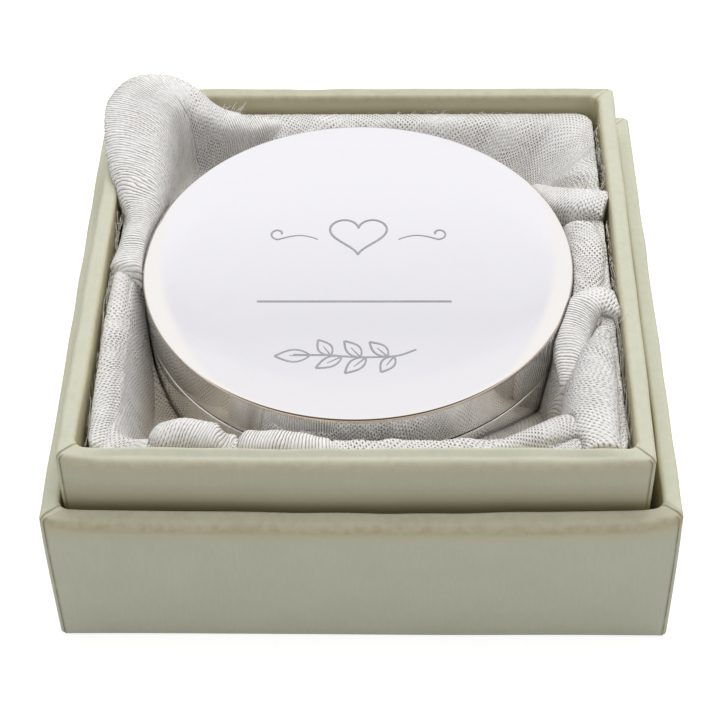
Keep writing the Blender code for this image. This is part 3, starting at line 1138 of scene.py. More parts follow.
# Folds of the gauze, from the back left hood by the right side round to the left edge.
FOLDS: tuple[Fold, ...] = (
    Fold((
        (-30.0, -0.5, 28.7, 2.3, 1.9, 0.0), (-29.6, 3.1, 29.3, 1.9, 2.0, 0.0),
        (-29.3, 7.4, 30.0, 1.6, 2.1, 0.0), (-29.3, 11.2, 31.0, 2.2, 2.8, 0.5),
        (-29.3, 15.5, 32.2, 3.4, 3.4, 1.5), (-29.2, 20.0, 33.4, 4.6, 3.6, 2.4),
        (-29.0, 24.0, 34.3, 5.2, 4.0, 2.8), (-27.8, 27.2, 34.6, 5.2, 4.4, 2.4),
        (-25.4, 28.4, 33.7, 4.2, 3.4, 1.7), (-22.4, 27.9, 31.7, 3.2, 2.0, 0.7),
        (-19.8, 27.4, 30.1, 3.0, 1.4, 0.2), (-17.2, 27.6, 29.1, 2.8, 1.2, 0.0),
        (-14.3, 28.6, 28.1, 1.9, 1.0, 0.0), (-11.0, 30.2, 27.0, 1.0, 0.8, 0.0),
    ), 25.0, 0.58, 0.28, 0.6),
    Fold((
        (22.6, 15.5, 27.0, 2.0, 1.8, 0.0), (25.0, 14.0, 27.7, 2.1, 1.9, 0.0),
        (28.4, 12.2, 28.8, 2.2, 2.0, 0.3), (30.4, 11.7, 28.8, 2.2, 2.1, 0.8),
        (31.4, 11.5, 28.4, 2.4, 2.3, 1.3), (33.4, 11.4, 27.8, 2.6, 2.5, 1.6),
    ), 24.8, 0.55, 0.35),
    Fold((
        (29.0, 9.0, 27.7, 2.5, 2.6, 0.2), (29.3, 3.6, 28.2, 2.7, 2.9, 0.3),
        (29.2, -1.0, 28.0, 2.6, 2.8, 0.3), (29.0, -4.6, 27.4, 2.4, 2.6, 0.2),
    ), 25.2, 0.75, 0.12, 1.4, True),
    Fold((
        (33.4, -7.8, 27.6, 2.0, 2.5, 1.6), (31.2, -7.2, 28.4, 1.8, 2.4, 1.1),
        (29.6, -7.0, 29.2, 1.6, 2.4, 0.2), (28.0, -8.2, 29.0, 1.6, 2.5, 0.0),
        (27.0, -10.6, 28.1, 1.5, 2.5, 0.0), (26.5, -13.7, 27.1, 1.4, 2.2, 0.0),
        (26.4, -17.0, 25.6, 1.1, 1.7, 0.0),
    ), 23.6, 0.55, 0.4),
    Fold((
        (29.9, -11.6, 28.2, 1.4, 1.3, 0.2), (29.4, -15.0, 28.9, 2.0, 2.6, 0.3),
        (29.0, -19.5, 29.2, 2.4, 3.9, 0.3), (28.8, -24.5, 29.2, 2.6, 4.3, 0.2),
        (28.8, -30.9, 28.7, 2.6, 3.9, 0.0),
    ), 21.0, 0.5, 0.15, 1.0, True),
    Fold((
        (13.5, -30.9, 27.4, 1.5, 2.0, 0.0), (20.0, -29.6, 28.3, 2.4, 2.0, 0.0),
        (23.6, -27.6, 28.2, 2.6, 3.0, 0.0), (26.0, -25.4, 26.6, 2.4, 2.6, 0.0),
    ), 22.0, 0.6, 0.15, 1.4, True),
    Fold((
        (-22.5, -29.3, 28.9, 2.4, 2.2, 0.0), (-19.5, -29.3, 29.7, 2.6, 2.2, 0.0),
        (-16.5, -29.4, 28.8, 2.4, 2.2, 0.0),
    ), 25.0, 0.6, 0.12, 2.4),
    Fold((
        (-12.5, -29.9, 28.5, 2.0, 1.8, 0.0), (-9.0, -29.9, 28.3, 2.0, 1.8, 0.0),
        (-4.0, -30.2, 27.7, 1.8, 1.8, 0.0),
    ), 25.5, 0.6, 0.12, 1.8),
    Fold((
        (-30.9, -29.5, 27.7, 0.9, 1.6, 0.0), (-31.0, -22.0, 28.0, 0.9, 2.0, 0.1),
        (-31.0, -12.0, 28.2, 0.9, 2.0, 0.2), (-30.9, -1.8, 27.9, 0.9, 1.6, 0.0),
    ), 26.4, 0.9, 0.1, 1.4, True),
)
# Valleys, whose crest heights are depths below the sheet.
VALLEYS: tuple[Fold, ...] = (
    Fold((
        (-25.0, 24.4, 0.4, 1.8, 2.4, 0.0), (-24.9, 21.0, 0.9, 2.0, 2.6, 0.0),
        (-24.6, 16.0, 0.7, 1.6, 2.0, 0.0),
    ), 0.0, 1.5),
    Fold(((24.5, 11.1, 1.6, 0.9, 1.2, 0.0), (30.5, 8.9, 1.8, 0.9, 1.2, 0.0)), 0.0, 1.5),
    Fold(((25.4, 18.2, 1.4, 2.2, 1.0, 0.0), (30.5, 16.2, 1.2, 2.2, 1.0, 0.0)), 0.0, 1.5),
    Fold((
        (30.5, -9.4, 1.8, 0.9, 0.9, 0.0), (29.0, -10.8, 2.0, 0.9, 0.9, 0.0),
        (28.2, -12.8, 1.8, 0.9, 0.9, 0.0),
    ), 0.0, 1.5),
    Fold(((-15.2, -31.4, 1.0, 1.0, 1.0, 0.0), (-16.0, -26.0, 1.6, 1.2, 1.2, 0.0)), 0.0, 1.5),
)
# Share of the turn from +X, level of the sheet beside the metal, and share of the way out that
# the sheet keeps that level.
LEVELS: tuple[Triple, ...] = (
    (0.000, 25.0, 0.0), (0.030, 25.4, 0.0), (0.073, 25.0, 0.0), (0.100, 21.5, 0.0),
    (0.125, 19.0, 0.0), (0.160, 20.5, 0.0), (0.200, 24.6, 0.0), (0.250, 26.6, 0.0),
    (0.300, 26.0, 0.0), (0.325, 24.0, 0.15), (0.345, 22.5, 0.30), (0.372, 22.0, 0.30),
    (0.400, 24.0, 0.10), (0.430, 25.8, 0.0), (0.470, 26.5, 0.0), (0.495, 25.5, 0.0),
    (0.515, 23.0, 0.05), (0.540, 19.5, 0.15), (0.570, 17.0, 0.25), (0.600, 15.5, 0.40),
    (0.635, 15.5, 0.50), (0.660, 18.0, 0.40), (0.690, 21.5, 0.10), (0.715, 23.5, 0.0),
    (0.745, 23.5, 0.0), (0.770, 21.5, 0.0), (0.810, 20.5, 0.05), (0.850, 20.0, 0.25),
    (0.880, 18.5, 0.35), (0.908, 16.5, 0.40), (0.935, 18.5, 0.30), (0.955, 21.0, 0.10),
    (0.975, 24.0, 0.0),
)
# Places of the turn where the columns stand closer, and how wide they do.
BUSY: tuple[Point, ...] = ((0.965, 0.10), (0.405, 0.08), (0.665, 0.05))


@dataclass
class GauzeNest:
    """The bunched gauze: up beside the metal, over the card frame and down outside it."""

    columns: int = 720
    cloth: float = 0.00025
    skirt: float = 0.0062
    clear: float = 0.0005
    card: float = 0.0006
    metal_gap: float = 0.0004
    metal_clear: float = 0.00012
    card_clear: float = 0.0001
    wall_clear: float = 0.00020
    foot: float = 0.0008
    outer_round: float = 0.0022
    inner_round: float = 0.0034
    ripple: float = 0.00009
    meeting: float = 1.2
    groove: Point = (0.22, 0.25)
    # Painted shade where two folds meet in a crease: its strength and width; then where the cloth
    # starts to darken below the crest and how far down it darkens fully.
    crease: Point = (0.55, 0.45)
    pocket_shade_start: float = 0.002
    pocket_shade_depth: float = 0.010
    sim_scale: float = 20.0
    sim_frames: int = 16
    least_hold: float = 0.35
    growth: float = 0.012
    cut: Point = (0.104, 0.104)
    folds: tuple[Fold, ...] = FOLDS
    valleys: tuple[Fold, ...] = VALLEYS

    def __post_init__(self) -> None:
        """Take the places of the card frame, the round box and the tray from the frame.

        Formula: the columns stand closer together by the density 1 + 1.3 humps, one for each busy
        place, so a column's share is the inverse of the density's running sum.
        """
        self.middle, self.half, card_low, self.card_top = place_of("nest_frame")
        self.centre, self.metal_radius, _, _ = place_of("base_shell")
        _, self.tray_half, _, self.tray_rim = place_of("inner_wrap")
        self.crest = self.card_top + self.clear
        self.floor = card_low + self.cloth
        even = np.linspace(0.0, 1.0, 2000)
        gaps = [((even - place + 0.5) % 1.0 - 0.5, wide) for place, wide in BUSY]
        busy = 1.0 + sum(1.3 * hump(gap, wide) for gap, wide in gaps)
        reach = np.append(0.0, np.cumsum((busy[1:] + busy[:-1]) / 2.0))
        self.shares = np.interp(np.arange(self.columns + 1) / self.columns, reach / reach[-1], even)

    def outline(self, half: float, corner: float) -> np.ndarray:
        """Places on a square with round corners, from the middle of the +X side.

        Formula: the arc length s is cut into the straight runs and the quarter arcs, each of
        which is a line or a circle in s. The places stand closer where the cloth is folded.

        Args:
            half: Half the square's width.
            corner: Radius of its corners.

        Returns:
            Places of shape columns by two.
        """
        straight = 2.0 * (half - corner)
        period = straight + corner * math.pi / 2.0
        length = self.shares[:-1] * 4.0 * period + straight / 2.0
        side = np.floor(length / period).astype(int)
        within = length - side * period
        bend = np.clip((within - straight) / corner, 0.0, None)
        reach = half - corner
        x = reach + corner * np.cos(bend)
        y = np.clip(within, 0.0, straight) - reach + corner * np.sin(bend)
        cosine, sine = np.cos(side * math.pi / 2.0), np.sin(side * math.pi / 2.0)
        return self.middle + np.stack([x * cosine - y * sine, x * sine + y * cosine], 1)

    def drape(
        self, plan: np.ndarray, level: np.ndarray, ray: np.ndarray
    ) -> tuple[np.ndarray, np.ndarray, np.ndarray]:
        """Lay the sheet over its folds.

        Formula: the height is the highest of the sheet's own level and all the folds' roofs, less
        the valleys. A fold's bulge and lean count only as far as it stands above the next lower
        one, so that two folds meet in a crease.

        Args:
            plan: Places seen from above, in millimetres.
            level: The sheet's own heights there, in millimetres.
            ray: Directions away from the round box.

        Returns:
            The places, with their heights, which way the threads show, from 1 where a fold runs
            round the box to -1 where it runs out from it, and how much painted shade they get for
            lying in a crease or a valley.
        """
        best, second = level.copy(), np.full(level.shape, -100.0)
        shift, comb = np.zeros(plan.shape), np.full(level.shape, -0.5)
        for fold in self.folds:
            roof, bulge, lean, axes = fold.cover(plan)
            wins = roof > best
            second = np.where(wins, best, np.maximum(second, roof))
            best = np.where(wins, roof, best)
            shift = np.where(wins[..., None], bulge + lean[..., None] * ray, shift)
            facing = 1.0 - 2.0 * np.square((axes * ray).sum(-1))
            facing = -0.8 * np.abs(facing) if fold.turned else np.clip(1.8 * facing, -1.0, 1.0)
            comb = np.where(wins, facing, comb)
        apart = best - second
        groove = self.groove[0] * hump(apart, self.groove[1]) * (best > level - 0.5)
        depth = np.zeros(level.shape)
        for valley in self.valleys:
            depth = np.maximum(depth, valley.cover(plan)[0])
        place = plan + shift * smooth_step(apart / self.meeting)[..., None]
        # Painted shade in the crease where two folds meet and in the valleys.
        crease_shade = self.crease[0] * hump(apart, self.crease[1]) * (second > level)
        crease_shade = np.clip(crease_shade + 0.3 * depth, 0.0, 1.0)
        return np.concatenate([place, (best - groove - depth)[..., None]], 2), comb, crease_shade

    def lay(self) -> tuple[np.ndarray, np.ndarray, dict[str, np.ndarray]]:
        """Lay the sheet in its resting folds.

        Formula: each column is a section from the middle of the floor, up beside the metal, out
        to the card frame at low + (crest - low) smooth((way - ledge) / (1 - ledge)), over it in a
        quarter round and down outside. The part from the metal to the skirt takes the folds.

        Returns:
            The grid of places, the row numbers of its stretches' ends, and the sheet's marks.
        """
        outer = self.outline(self.half + self.clear, self.outer_round)
        inner = self.outline(self.half - self.card - self.clear, self.inner_round)
        bearing = np.arctan2(outer[:, 1] - self.centre[1], outer[:, 0] - self.centre[0])
        turn = (bearing / TAU) % 1.0
        ray = np.stack([np.cos(bearing), np.sin(bearing)], 1)
        near = self.centre + (self.metal_radius + self.metal_gap) * ray
        places, *heights = np.array(LEVELS).T
        window = np.hanning(23)
        low, ledge = (
            np.convolve(np.concatenate([v[-10:], v, v[:10]]), window[1:-1] / window.sum(), "valid")
            for v in (np.interp(turn, places, values, period=1.0) for values in heights)
        )
        low = low * MILLIMETRE

        way = np.power(np.linspace(0.0, 1.0, 40), 0.8)[:, None]
        across = near + (inner - near) * way[..., None]
        height = low + (self.crest - low) * smooth_step((way - ledge) / (1.0 - ledge))
        over = np.radians(np.linspace(78.0, 0.0, 6))[:, None]
        beyond = inner + (outer - inner) * np.cos(over)[..., None]
        level = np.repeat(self.crest - self.clear * (1.0 - np.sin(over)), self.columns, 1)
        plan = np.concatenate([across, beyond]) / MILLIMETRE
        level = np.concatenate([height, level]) / MILLIMETRE
        upper, comb, crease_shade = self.drape(plan, level, np.broadcast_to(ray, plan.shape))
        upper *= MILLIMETRE
        hold = np.concatenate([np.minimum(1.0, 1.6 * way), np.ones_like(over)])
        upper[..., 2] += self.ripple * hold * closed_noise(turn[None] + 0.02 * hold, (14, 60), 3)

        def flat_ring(places: np.ndarray, level: float) -> np.ndarray:
            """Places at one level."""
            return np.column_stack([places, np.full(self.columns, level)])

        hem = flat_ring(outer, self.crest - self.skirt)
        foot = flat_ring(near, self.floor + self.foot)
        skirt = upper[-1] + (hem - upper[-1]) * np.linspace(0.0, 1.0, 7)[1:, None, None]
        rise = foot + (upper[0] - foot) * np.linspace(0.0, 1.0, 6)[:-1, None, None]
        reach = near - self.foot * ray - self.centre
        under = [flat_ring(self.centre + reach * share, self.floor) for share in (0.0, 0.5, 0.9)]
        grid = np.concatenate([np.stack(under), rise, upper, skirt])
        marks = np.array([len(under), len(under) + len(rise), len(grid) - len(skirt)])
        painted = {"comb": np.zeros(grid.shape[:2]), "painted_pocket_shade": np.zeros(grid.shape[:2])}
        painted["comb"][marks[1]:marks[2]] = comb
        painted["painted_pocket_shade"][marks[1]:marks[2]] = crease_shade
        return grid, marks, painted

    def crumple(self, grid: np.ndarray, marks: np.ndarray) -> np.ndarray:
        """Let the sheet buckle as if it were a little too large for its place.

        The sheet is simulated at a larger scale with its hem and its foot held, its cloth grown
        by the growth share and the rest drawn softly to its resting folds.

        Args:
            grid: The laid sheet.
            marks: Row numbers of its stretches' ends.

        Returns:
            The buckled sheet.
        """
        first, top, hem = marks
        part = grid[first:]
        item = surface("gauze_sim", part * self.sim_scale, around=True)
        climb = np.arange(first, len(grid))[:, None]
        weight = np.clip(1.0 - (climb - top) / 6.0, 0.0, 1.0)
        weight = weight + np.clip((climb - hem) / 3.0, 0.0, 1.0)
        weight = np.repeat(np.clip(weight, self.least_hold, 1.0), self.columns, 1).ravel()
        holder = item.vertex_groups.new(name="hold")
        for level in np.unique(weight):
            holder.add(np.nonzero(weight == level)[0].tolist(), float(level), "REPLACE")
        cloth = item.modifiers.new("cloth", "CLOTH")
        for name, value in (
            ("quality", 5), ("mass", 0.15), ("tension_stiffness", 12.0),
            ("compression_stiffness", 12.0), ("shear_stiffness", 4.0), ("bending_stiffness", 1.5),
            ("shrink_min", -self.growth), ("vertex_group_mass", "hold"), ("pin_stiffness", 0.6),
        ):
            setattr(cloth.settings, name, value)
        cloth.settings.effector_weights.gravity = 0.0
        cloth.collision_settings.use_collision = False
        cloth.point_cache.frame_start, cloth.point_cache.frame_end = 1, self.sim_frames
        scene = bpy.context.scene
        for number in range(1, self.sim_frames + 1):
            scene.frame_set(number)
        shaped = item.evaluated_get(bpy.context.evaluated_depsgraph_get()).data
        spot = places_in(shaped).reshape(part.shape) / self.sim_scale
        scene.frame_set(1)
        mesh = item.data
        bpy.data.objects.remove(item)
        bpy.data.meshes.remove(mesh)
        moved = np.linalg.norm(spot - part, axis=2)
        LOG.info("gauze buckled by %.2f mm at most", moved.max() / MILLIMETRE)
        return np.concatenate([grid[:first], spot])

    def keep_clear(self, grid: np.ndarray, marks: np.ndarray) -> np.ndarray:
        """Keep the sheet off the metal, the card and the tray's walls.

        Formula: the distance from the round box's axis is never less than its radius and the
        gap; over the card the height is never less than the crest's; below the tray's rim the
        distance from the nest's middle is never more than the wall's less the gap.

        Args:
            grid: The sheet.
            marks: Row numbers of its stretches' ends.

        Returns:
            The sheet, moved where it must be.
        """
        part = grid[marks[0]:].copy()
        away = part[..., :2] - self.centre
        reach = np.linalg.norm(away, axis=2, keepdims=True)
        least = self.metal_radius + self.cloth + self.metal_clear
        part[..., :2] = self.centre + away * np.maximum(reach, least) / reach
        local = part[..., :2] - self.middle
        outside = np.abs(local).max(2) > self.half - self.card - self.cloth
        over = outside & (np.arange(len(part))[:, None] < marks[2] - marks[0])
        roof = self.card_top + self.cloth + self.card_clear
        part[..., 2] = np.where(over, np.maximum(part[..., 2], roof), part[..., 2])
        wall = self.tray_half - PaperTray.wall - self.wall_clear
        low = part[..., 2:] < self.tray_rim + 0.0003
        part[..., :2] = np.where(low, np.clip(local, -wall, wall) + self.middle, part[..., :2])
        return np.concatenate([grid[:marks[0]], part])

    def build(self, material: Material) -> Item:
        """Make the sheet, in the frame's place of the gauze.

        Args:
            material: The gauze.

        Returns:
            The sheet.
        """
        grid, marks, painted = self.lay()
        step = np.linalg.norm(np.diff(grid, axis=0), axis=2)
        along = np.concatenate([np.zeros((1, self.columns)), np.cumsum(step, 0)])
        along = np.concatenate([along, along[:, :1]], 1)
        flat = np.stack(np.broadcast_arrays(self.shares * 8.0 * self.half, along), 2)
        grid = self.crumple(grid, marks)
        grid = self.keep_clear(grid, marks)
        item = surface("gauze_nest", grid, around=True)
        unwrap(item, "cloth", flat)
        # Painted shade: the lower the cloth lies below the crest, the darker and warmer it is
        # painted.
        painted_deep_shade = smooth_step((self.crest - self.pocket_shade_start - grid[..., 2]) / self.pocket_shade_depth)
        paint(item, "painted_pocket_shade", np.clip(painted_deep_shade + painted["painted_pocket_shade"], 0.0, 1.2))
        paint(item, "comb", painted["comb"])
        thicken(item, self.cloth)
        return settle(item, material, Body.NEST, Slot.GAUZE, "gauze_liner")


@dataclass(frozen=True)
class FrayedRun:
    """A stretch of the cut edge: its two ends, in millimetres, and what its threads do.

    Along and up say which way the threads go, and length is theirs, in millimetres.
    """

    start: Triple
    end: Triple
    count: int
    length: float
    along: float
    up: float


@dataclass
class Fringe:
    """Loose threads where the cut edge of the gauze frays, most of them beside the card."""

    radius: float = 0.000055
    taper: float = 0.55
    steps: int = 9
    seed: int = 5
    curl: float = 0.8
    runs: tuple[FrayedRun, ...] = (
        FrayedRun((32.0, 28.5, 26.8), (32.1, 14.5, 27.2), 46, 2.6, 0.5, 0.7),
        FrayedRun((32.0, 8.8, 27.2), (32.0, -4.6, 27.2), 46, 1.8, 0.9, 0.25),
        FrayedRun((32.0, -10.5, 26.6), (32.0, -30.5, 25.4), 90, 4.2, -1.0, 0.05),
        FrayedRun((-32.0, -30.0, 26.4), (-32.1, -2.0, 26.8), 80, 2.4, 0.9, 0.3),
        FrayedRun((-32.0, 1.0, 27.0), (-31.9, 10.0, 27.6), 26, 2.0, 0.7, 0.5),
        FrayedRun((-20.0, 29.3, 29.3), (-17.2, 29.9, 28.6), 20, 1.9, 0.6, 0.9),
        FrayedRun((2.0, 31.9, 26.9), (28.0, 31.9, 26.9), 40, 1.0, 0.8, 0.5),
        FrayedRun((-10.0, -31.5, 27.3), (14.0, -31.5, 27.1), 12, 1.5, 0.8, 0.5),
    )

    def paths(self) -> np.ndarray:
        """The threads' middle lines.

        Formula: place = root + length (t way + curl sin(pi t + phase) side), with a droop of
        t^2; way, side, phase and length differ from thread to thread.

        Returns:
            Places of shape threads by steps by three, in metres.
        """
        chance = np.random.default_rng(self.seed)
        t = np.linspace(0.0, 1.0, self.steps)[None, :, None]
        lines = []
        for run in self.runs:
            one, each = (run.count, 1, 1), (run.count, 1, 3)
            start, end = np.array(run.start), np.array(run.end)
            axis = (end - start) / np.linalg.norm(end - start)
            root = start + (end - start) * chance.random(one)
            root = root + chance.normal(0.0, 0.07, each)
            way = run.along * axis + run.up * np.array([0.0, 0.0, 1.0])
            way = way + chance.normal(0.0, (0.10, 0.45, 0.30), each)
            side = chance.normal(0.0, (0.12, 0.35, 0.30), each)
            length = run.length * (0.35 + 0.9 * chance.random(one))
            bend = np.sin(math.pi * t + TAU * chance.random(one))
            droop = np.array([0.0, 0.0, -0.35]) * t * t * run.up
            lines.append(root + length * (t * way + bend * side * self.curl + droop))
        return np.concatenate(lines) * MILLIMETRE

    def build(self, material: Material, nest: GauzeNest) -> Item:
        """Make all threads as three-sided strands in one mesh, held inside the tray.

        Formula: ring k of a strand lies round place k, at thirds of a turn.

        Args:
            material: The threads' finish.
            nest: The nest, which knows the tray.

        Returns:
            The threads.
        """
        lines = self.paths()
        room = nest.tray_half - PaperTray.wall - 2.0 * self.radius
        middle = np.array([0.0, nest.middle[1]])
        held = np.clip(lines[..., :2] - middle, -room, room) + middle
        lines[..., :2] = np.where(lines[..., 2:] < nest.tray_rim, held, lines[..., :2])
        way = np.gradient(lines, axis=1)
        way /= np.linalg.norm(way, axis=2, keepdims=True) + 1e-9
        first = np.cross(way, np.array([0.31, 0.22, 0.92]))
        first /= np.linalg.norm(first, axis=2, keepdims=True) + 1e-9
        first, second = first[:, :, None], np.cross(way, first)[:, :, None]
        angle = np.radians([0.0, 120.0, 240.0])[:, None]
        taper = self.radius * np.linspace(1.0, self.taper, self.steps)[None, :, None, None]
        ring = first * np.cos(angle) + second * np.sin(angle)
        places = (lines[:, :, None] + taper * ring).reshape(-1, 3)
        index = np.arange(len(places)).reshape(len(lines), self.steps, 3)
        after = np.roll(index, -1, axis=2)
        quads = np.stack([index[:, :-1], after[:, :-1], after[:, 1:], index[:, 1:]], -1)
        caps = np.concatenate([index[:, 0, ::-1], index[:, -1]])
        faces = quads.reshape(-1, 4).tolist() + caps.tolist()
        item = mesh_item("gauze_frayed_threads", places, faces)
        return settle(item, material, Body.NEST, Slot.GAUZE)


@dataclass
class RoundBox:
    """The polished round box: lid, base, neck ring, velvet pads and linings."""

    metal: float = 0.0008
    edge_round: float = 0.00045
    foot_round: float = 0.0011
    mouth_round: float = 0.0002
    inner_round: float = 0.0006
    shoulder_start: float = 0.0215
    shoulder_drop: float = 0.00012
    shoulder_power: float = 2.2
    side_gap: float = 0.0002
    edge_worn: float = 0.7
    ring_metal: float = 0.0005
    pile: float = 0.0005
    pad_round: float = 0.0006
    pad_crown: float = 0.0001
    pad_turn_under: float = 0.0050

    def lid(self, silver: Material) -> None:
        """Make the lid: a flat mirror that falls away by a rising slope to its edge round.

        Args:
            silver: The plate.
        """
        centre, radius, bottom, top = place_of("lid_shell")
        edge, mouth, curve = self.edge_round, self.mouth_round, self.inner_round
        end, inner, under = radius - edge, radius - self.metal, top - self.metal
        across = np.linspace(self.shoulder_start, end, 26)[:-1]
        share = (across - self.shoulder_start) / (end - self.shoulder_start)
        fall = np.power(share, self.shoulder_power)
        edge_top = top - self.shoulder_drop
        profile = np.concatenate([
            line((0.0, top), (self.shoulder_start, top), 9),
            np.stack([across, top - self.shoulder_drop * fall], 1),
            arc((end, edge_top - edge), edge, 87.0, 0.0, 12),
            line((radius, edge_top - edge - self.side_gap), (radius, bottom + mouth), 4),
            arc((radius - mouth, bottom + mouth), mouth, 0.0, -90.0, 5),
            arc((inner + mouth, bottom + mouth), mouth, -90.0, -180.0, 5),
            line((inner, bottom + 2.0 * mouth), (inner, under - curve), 3),
            arc((inner - curve, under - curve), curve, 0.0, 90.0, 6),
            line((inner - 2.0 * curve, under), (0.0, under), 4),
            [(0.0, under)],
        ])
        item = revolve("lid_mirror", profile, centre)
        spot = places_in(item.data)
        reach = np.hypot(spot[:, 0] - centre[0], spot[:, 1] - centre[1])
        at_edge = hump(reach - radius + edge * 0.12, edge * 0.20) * (spot[:, 2] > edge_top - edge)
        paint(item, "edge", self.edge_worn * at_edge)
        settle(item, silver, Body.LID, Slot.SILVER, "lid_shell")

    def base(self, silver: Material) -> None:
        """Make the cup of the base.

        Args:
            silver: The plate.
        """
        centre, radius, bottom, top = place_of("base_shell")
        inner, floor = radius - self.metal, bottom + self.metal
        mouth, foot, curve = self.mouth_round, self.foot_round, self.inner_round
        profile = np.concatenate([
            line((0.0, floor), (inner - curve, floor), 4),
            arc((inner - curve, floor + curve), curve, -90.0, 0.0, 6),
            line((inner, floor + 2.0 * curve), (inner, top - mouth), 4),
            arc((inner + mouth, top - mouth), mouth, 180.0, 90.0, 5),
            arc((radius - mouth, top - mouth), mouth, 90.0, 0.0, 5),
            line((radius, top - 2.0 * mouth), (radius, bottom + foot), 6),
            arc((radius - foot, bottom + foot), foot, 0.0, -90.0, 8),
            line((radius - 2.0 * foot, bottom), (0.0, bottom), 4),
            [(0.0, bottom)],
        ])
        item = revolve("base_cup", profile, centre)
        settle(item, silver, Body.ROUND_BASE, Slot.SILVER, "base_shell")

    def ring(self, silver: Material) -> None:
        """Make the neck ring, with a lead that guides the lid.

        Args:
            silver: The plate.
        """
        centre, radius, bottom, top = place_of("neck_ring")
        lead, half_way = self.ring_metal, (top + bottom) / 2.0
        inner = radius - self.ring_metal
        profile = np.array([
            (inner, top), (radius - lead * 0.5, top), (radius - lead * 0.15, top - lead * 0.3),
            (radius, top - lead), (radius, half_way), (radius, bottom), (inner, bottom),
            (inner, half_way),
        ])
        item = revolve("neck_ring_band", profile, centre, closed=True)
        settle(item, silver, Body.ROUND_BASE, Slot.SILVER, "neck_ring")

    def pad(self, node: str, board: str, body: Body, velvet: Material) -> None:
        """Make the velvet of a pad, turned round its card.

        Formula: the face falls from its crown by crown (r / edge)^4, goes round the edge in a
        quarter circle, down the side and back under; the inner side lies one pile deeper.

        Args:
            node: CAD node of the velvet.
            board: CAD node of its card; not used.
            body: Body that it rides on.
            velvet: The pile.
        """
        centre, radius, low, high = place_of(node)
        way = 1.0 if body is Body.ROUND_BASE else -1.0
        face, back = (high, low) if way > 0.0 else (low, high)
        pile, soft, under = self.pile, self.pad_round, self.pad_turn_under
        edge = radius - soft
        across = np.linspace(0.0, edge, 24)
        crown = face - way * self.pad_crown * np.power(across / edge, 4.0)
        bend = arc((edge, 0.0), soft, 90.0, 0.0, 8)[1:]
        bend[:, 1] = face - way * self.pad_crown - way * (soft - bend[:, 1])
        deep_back, deep_face = back + way * pile, face - way * pile
        profile = np.concatenate([
            np.column_stack([across, crown]),
            bend,
            [(radius, back), (radius - soft, back), (radius - under, back)],
            [(radius - under, deep_back), (radius - pile, deep_back)],
            [(radius - pile, deep_face), (0.0, deep_face)],
        ])
        item = revolve(node + "_pile", profile if way > 0.0 else profile[::-1], centre)
        settle(item, velvet, body, Slot.VELVET, node)

    def lining(self, velvet: Material) -> None:
        """Make the velvet strip inside the neck ring, with soft edges.

        Args:
            velvet: The pile.
        """
        node = "base_wall_lining"
        centre, radius, low, high = place_of(node)
        inside, soft = radius - self.pile, self.pile * 0.45
        profile = np.concatenate([
            line((inside, low + soft), (inside, high - soft), 8),
            arc((inside + soft, high - soft), soft, 180.0, 90.0, 5),
            arc((radius - soft, high - soft), soft, 90.0, 0.0, 5),
            line((radius, high - 2.0 * soft), (radius, low + soft), 8),
            arc((radius - soft, low + soft), soft, 0.0, -90.0, 5),
            arc((inside + soft, low + soft), soft, -90.0, -180.0, 5)[:-1],
        ])
        item = revolve(node + "_pile", profile, centre, closed=True)
        settle(item, velvet, Body.ROUND_BASE, Slot.VELVET, node)


@dataclass(frozen=True)
class Leaf:
    """One leaf of the sprig: where it leaves the stem, its tip, and how far its sides bow."""

    root: Point
    tip: Point
    left: float
    right: float


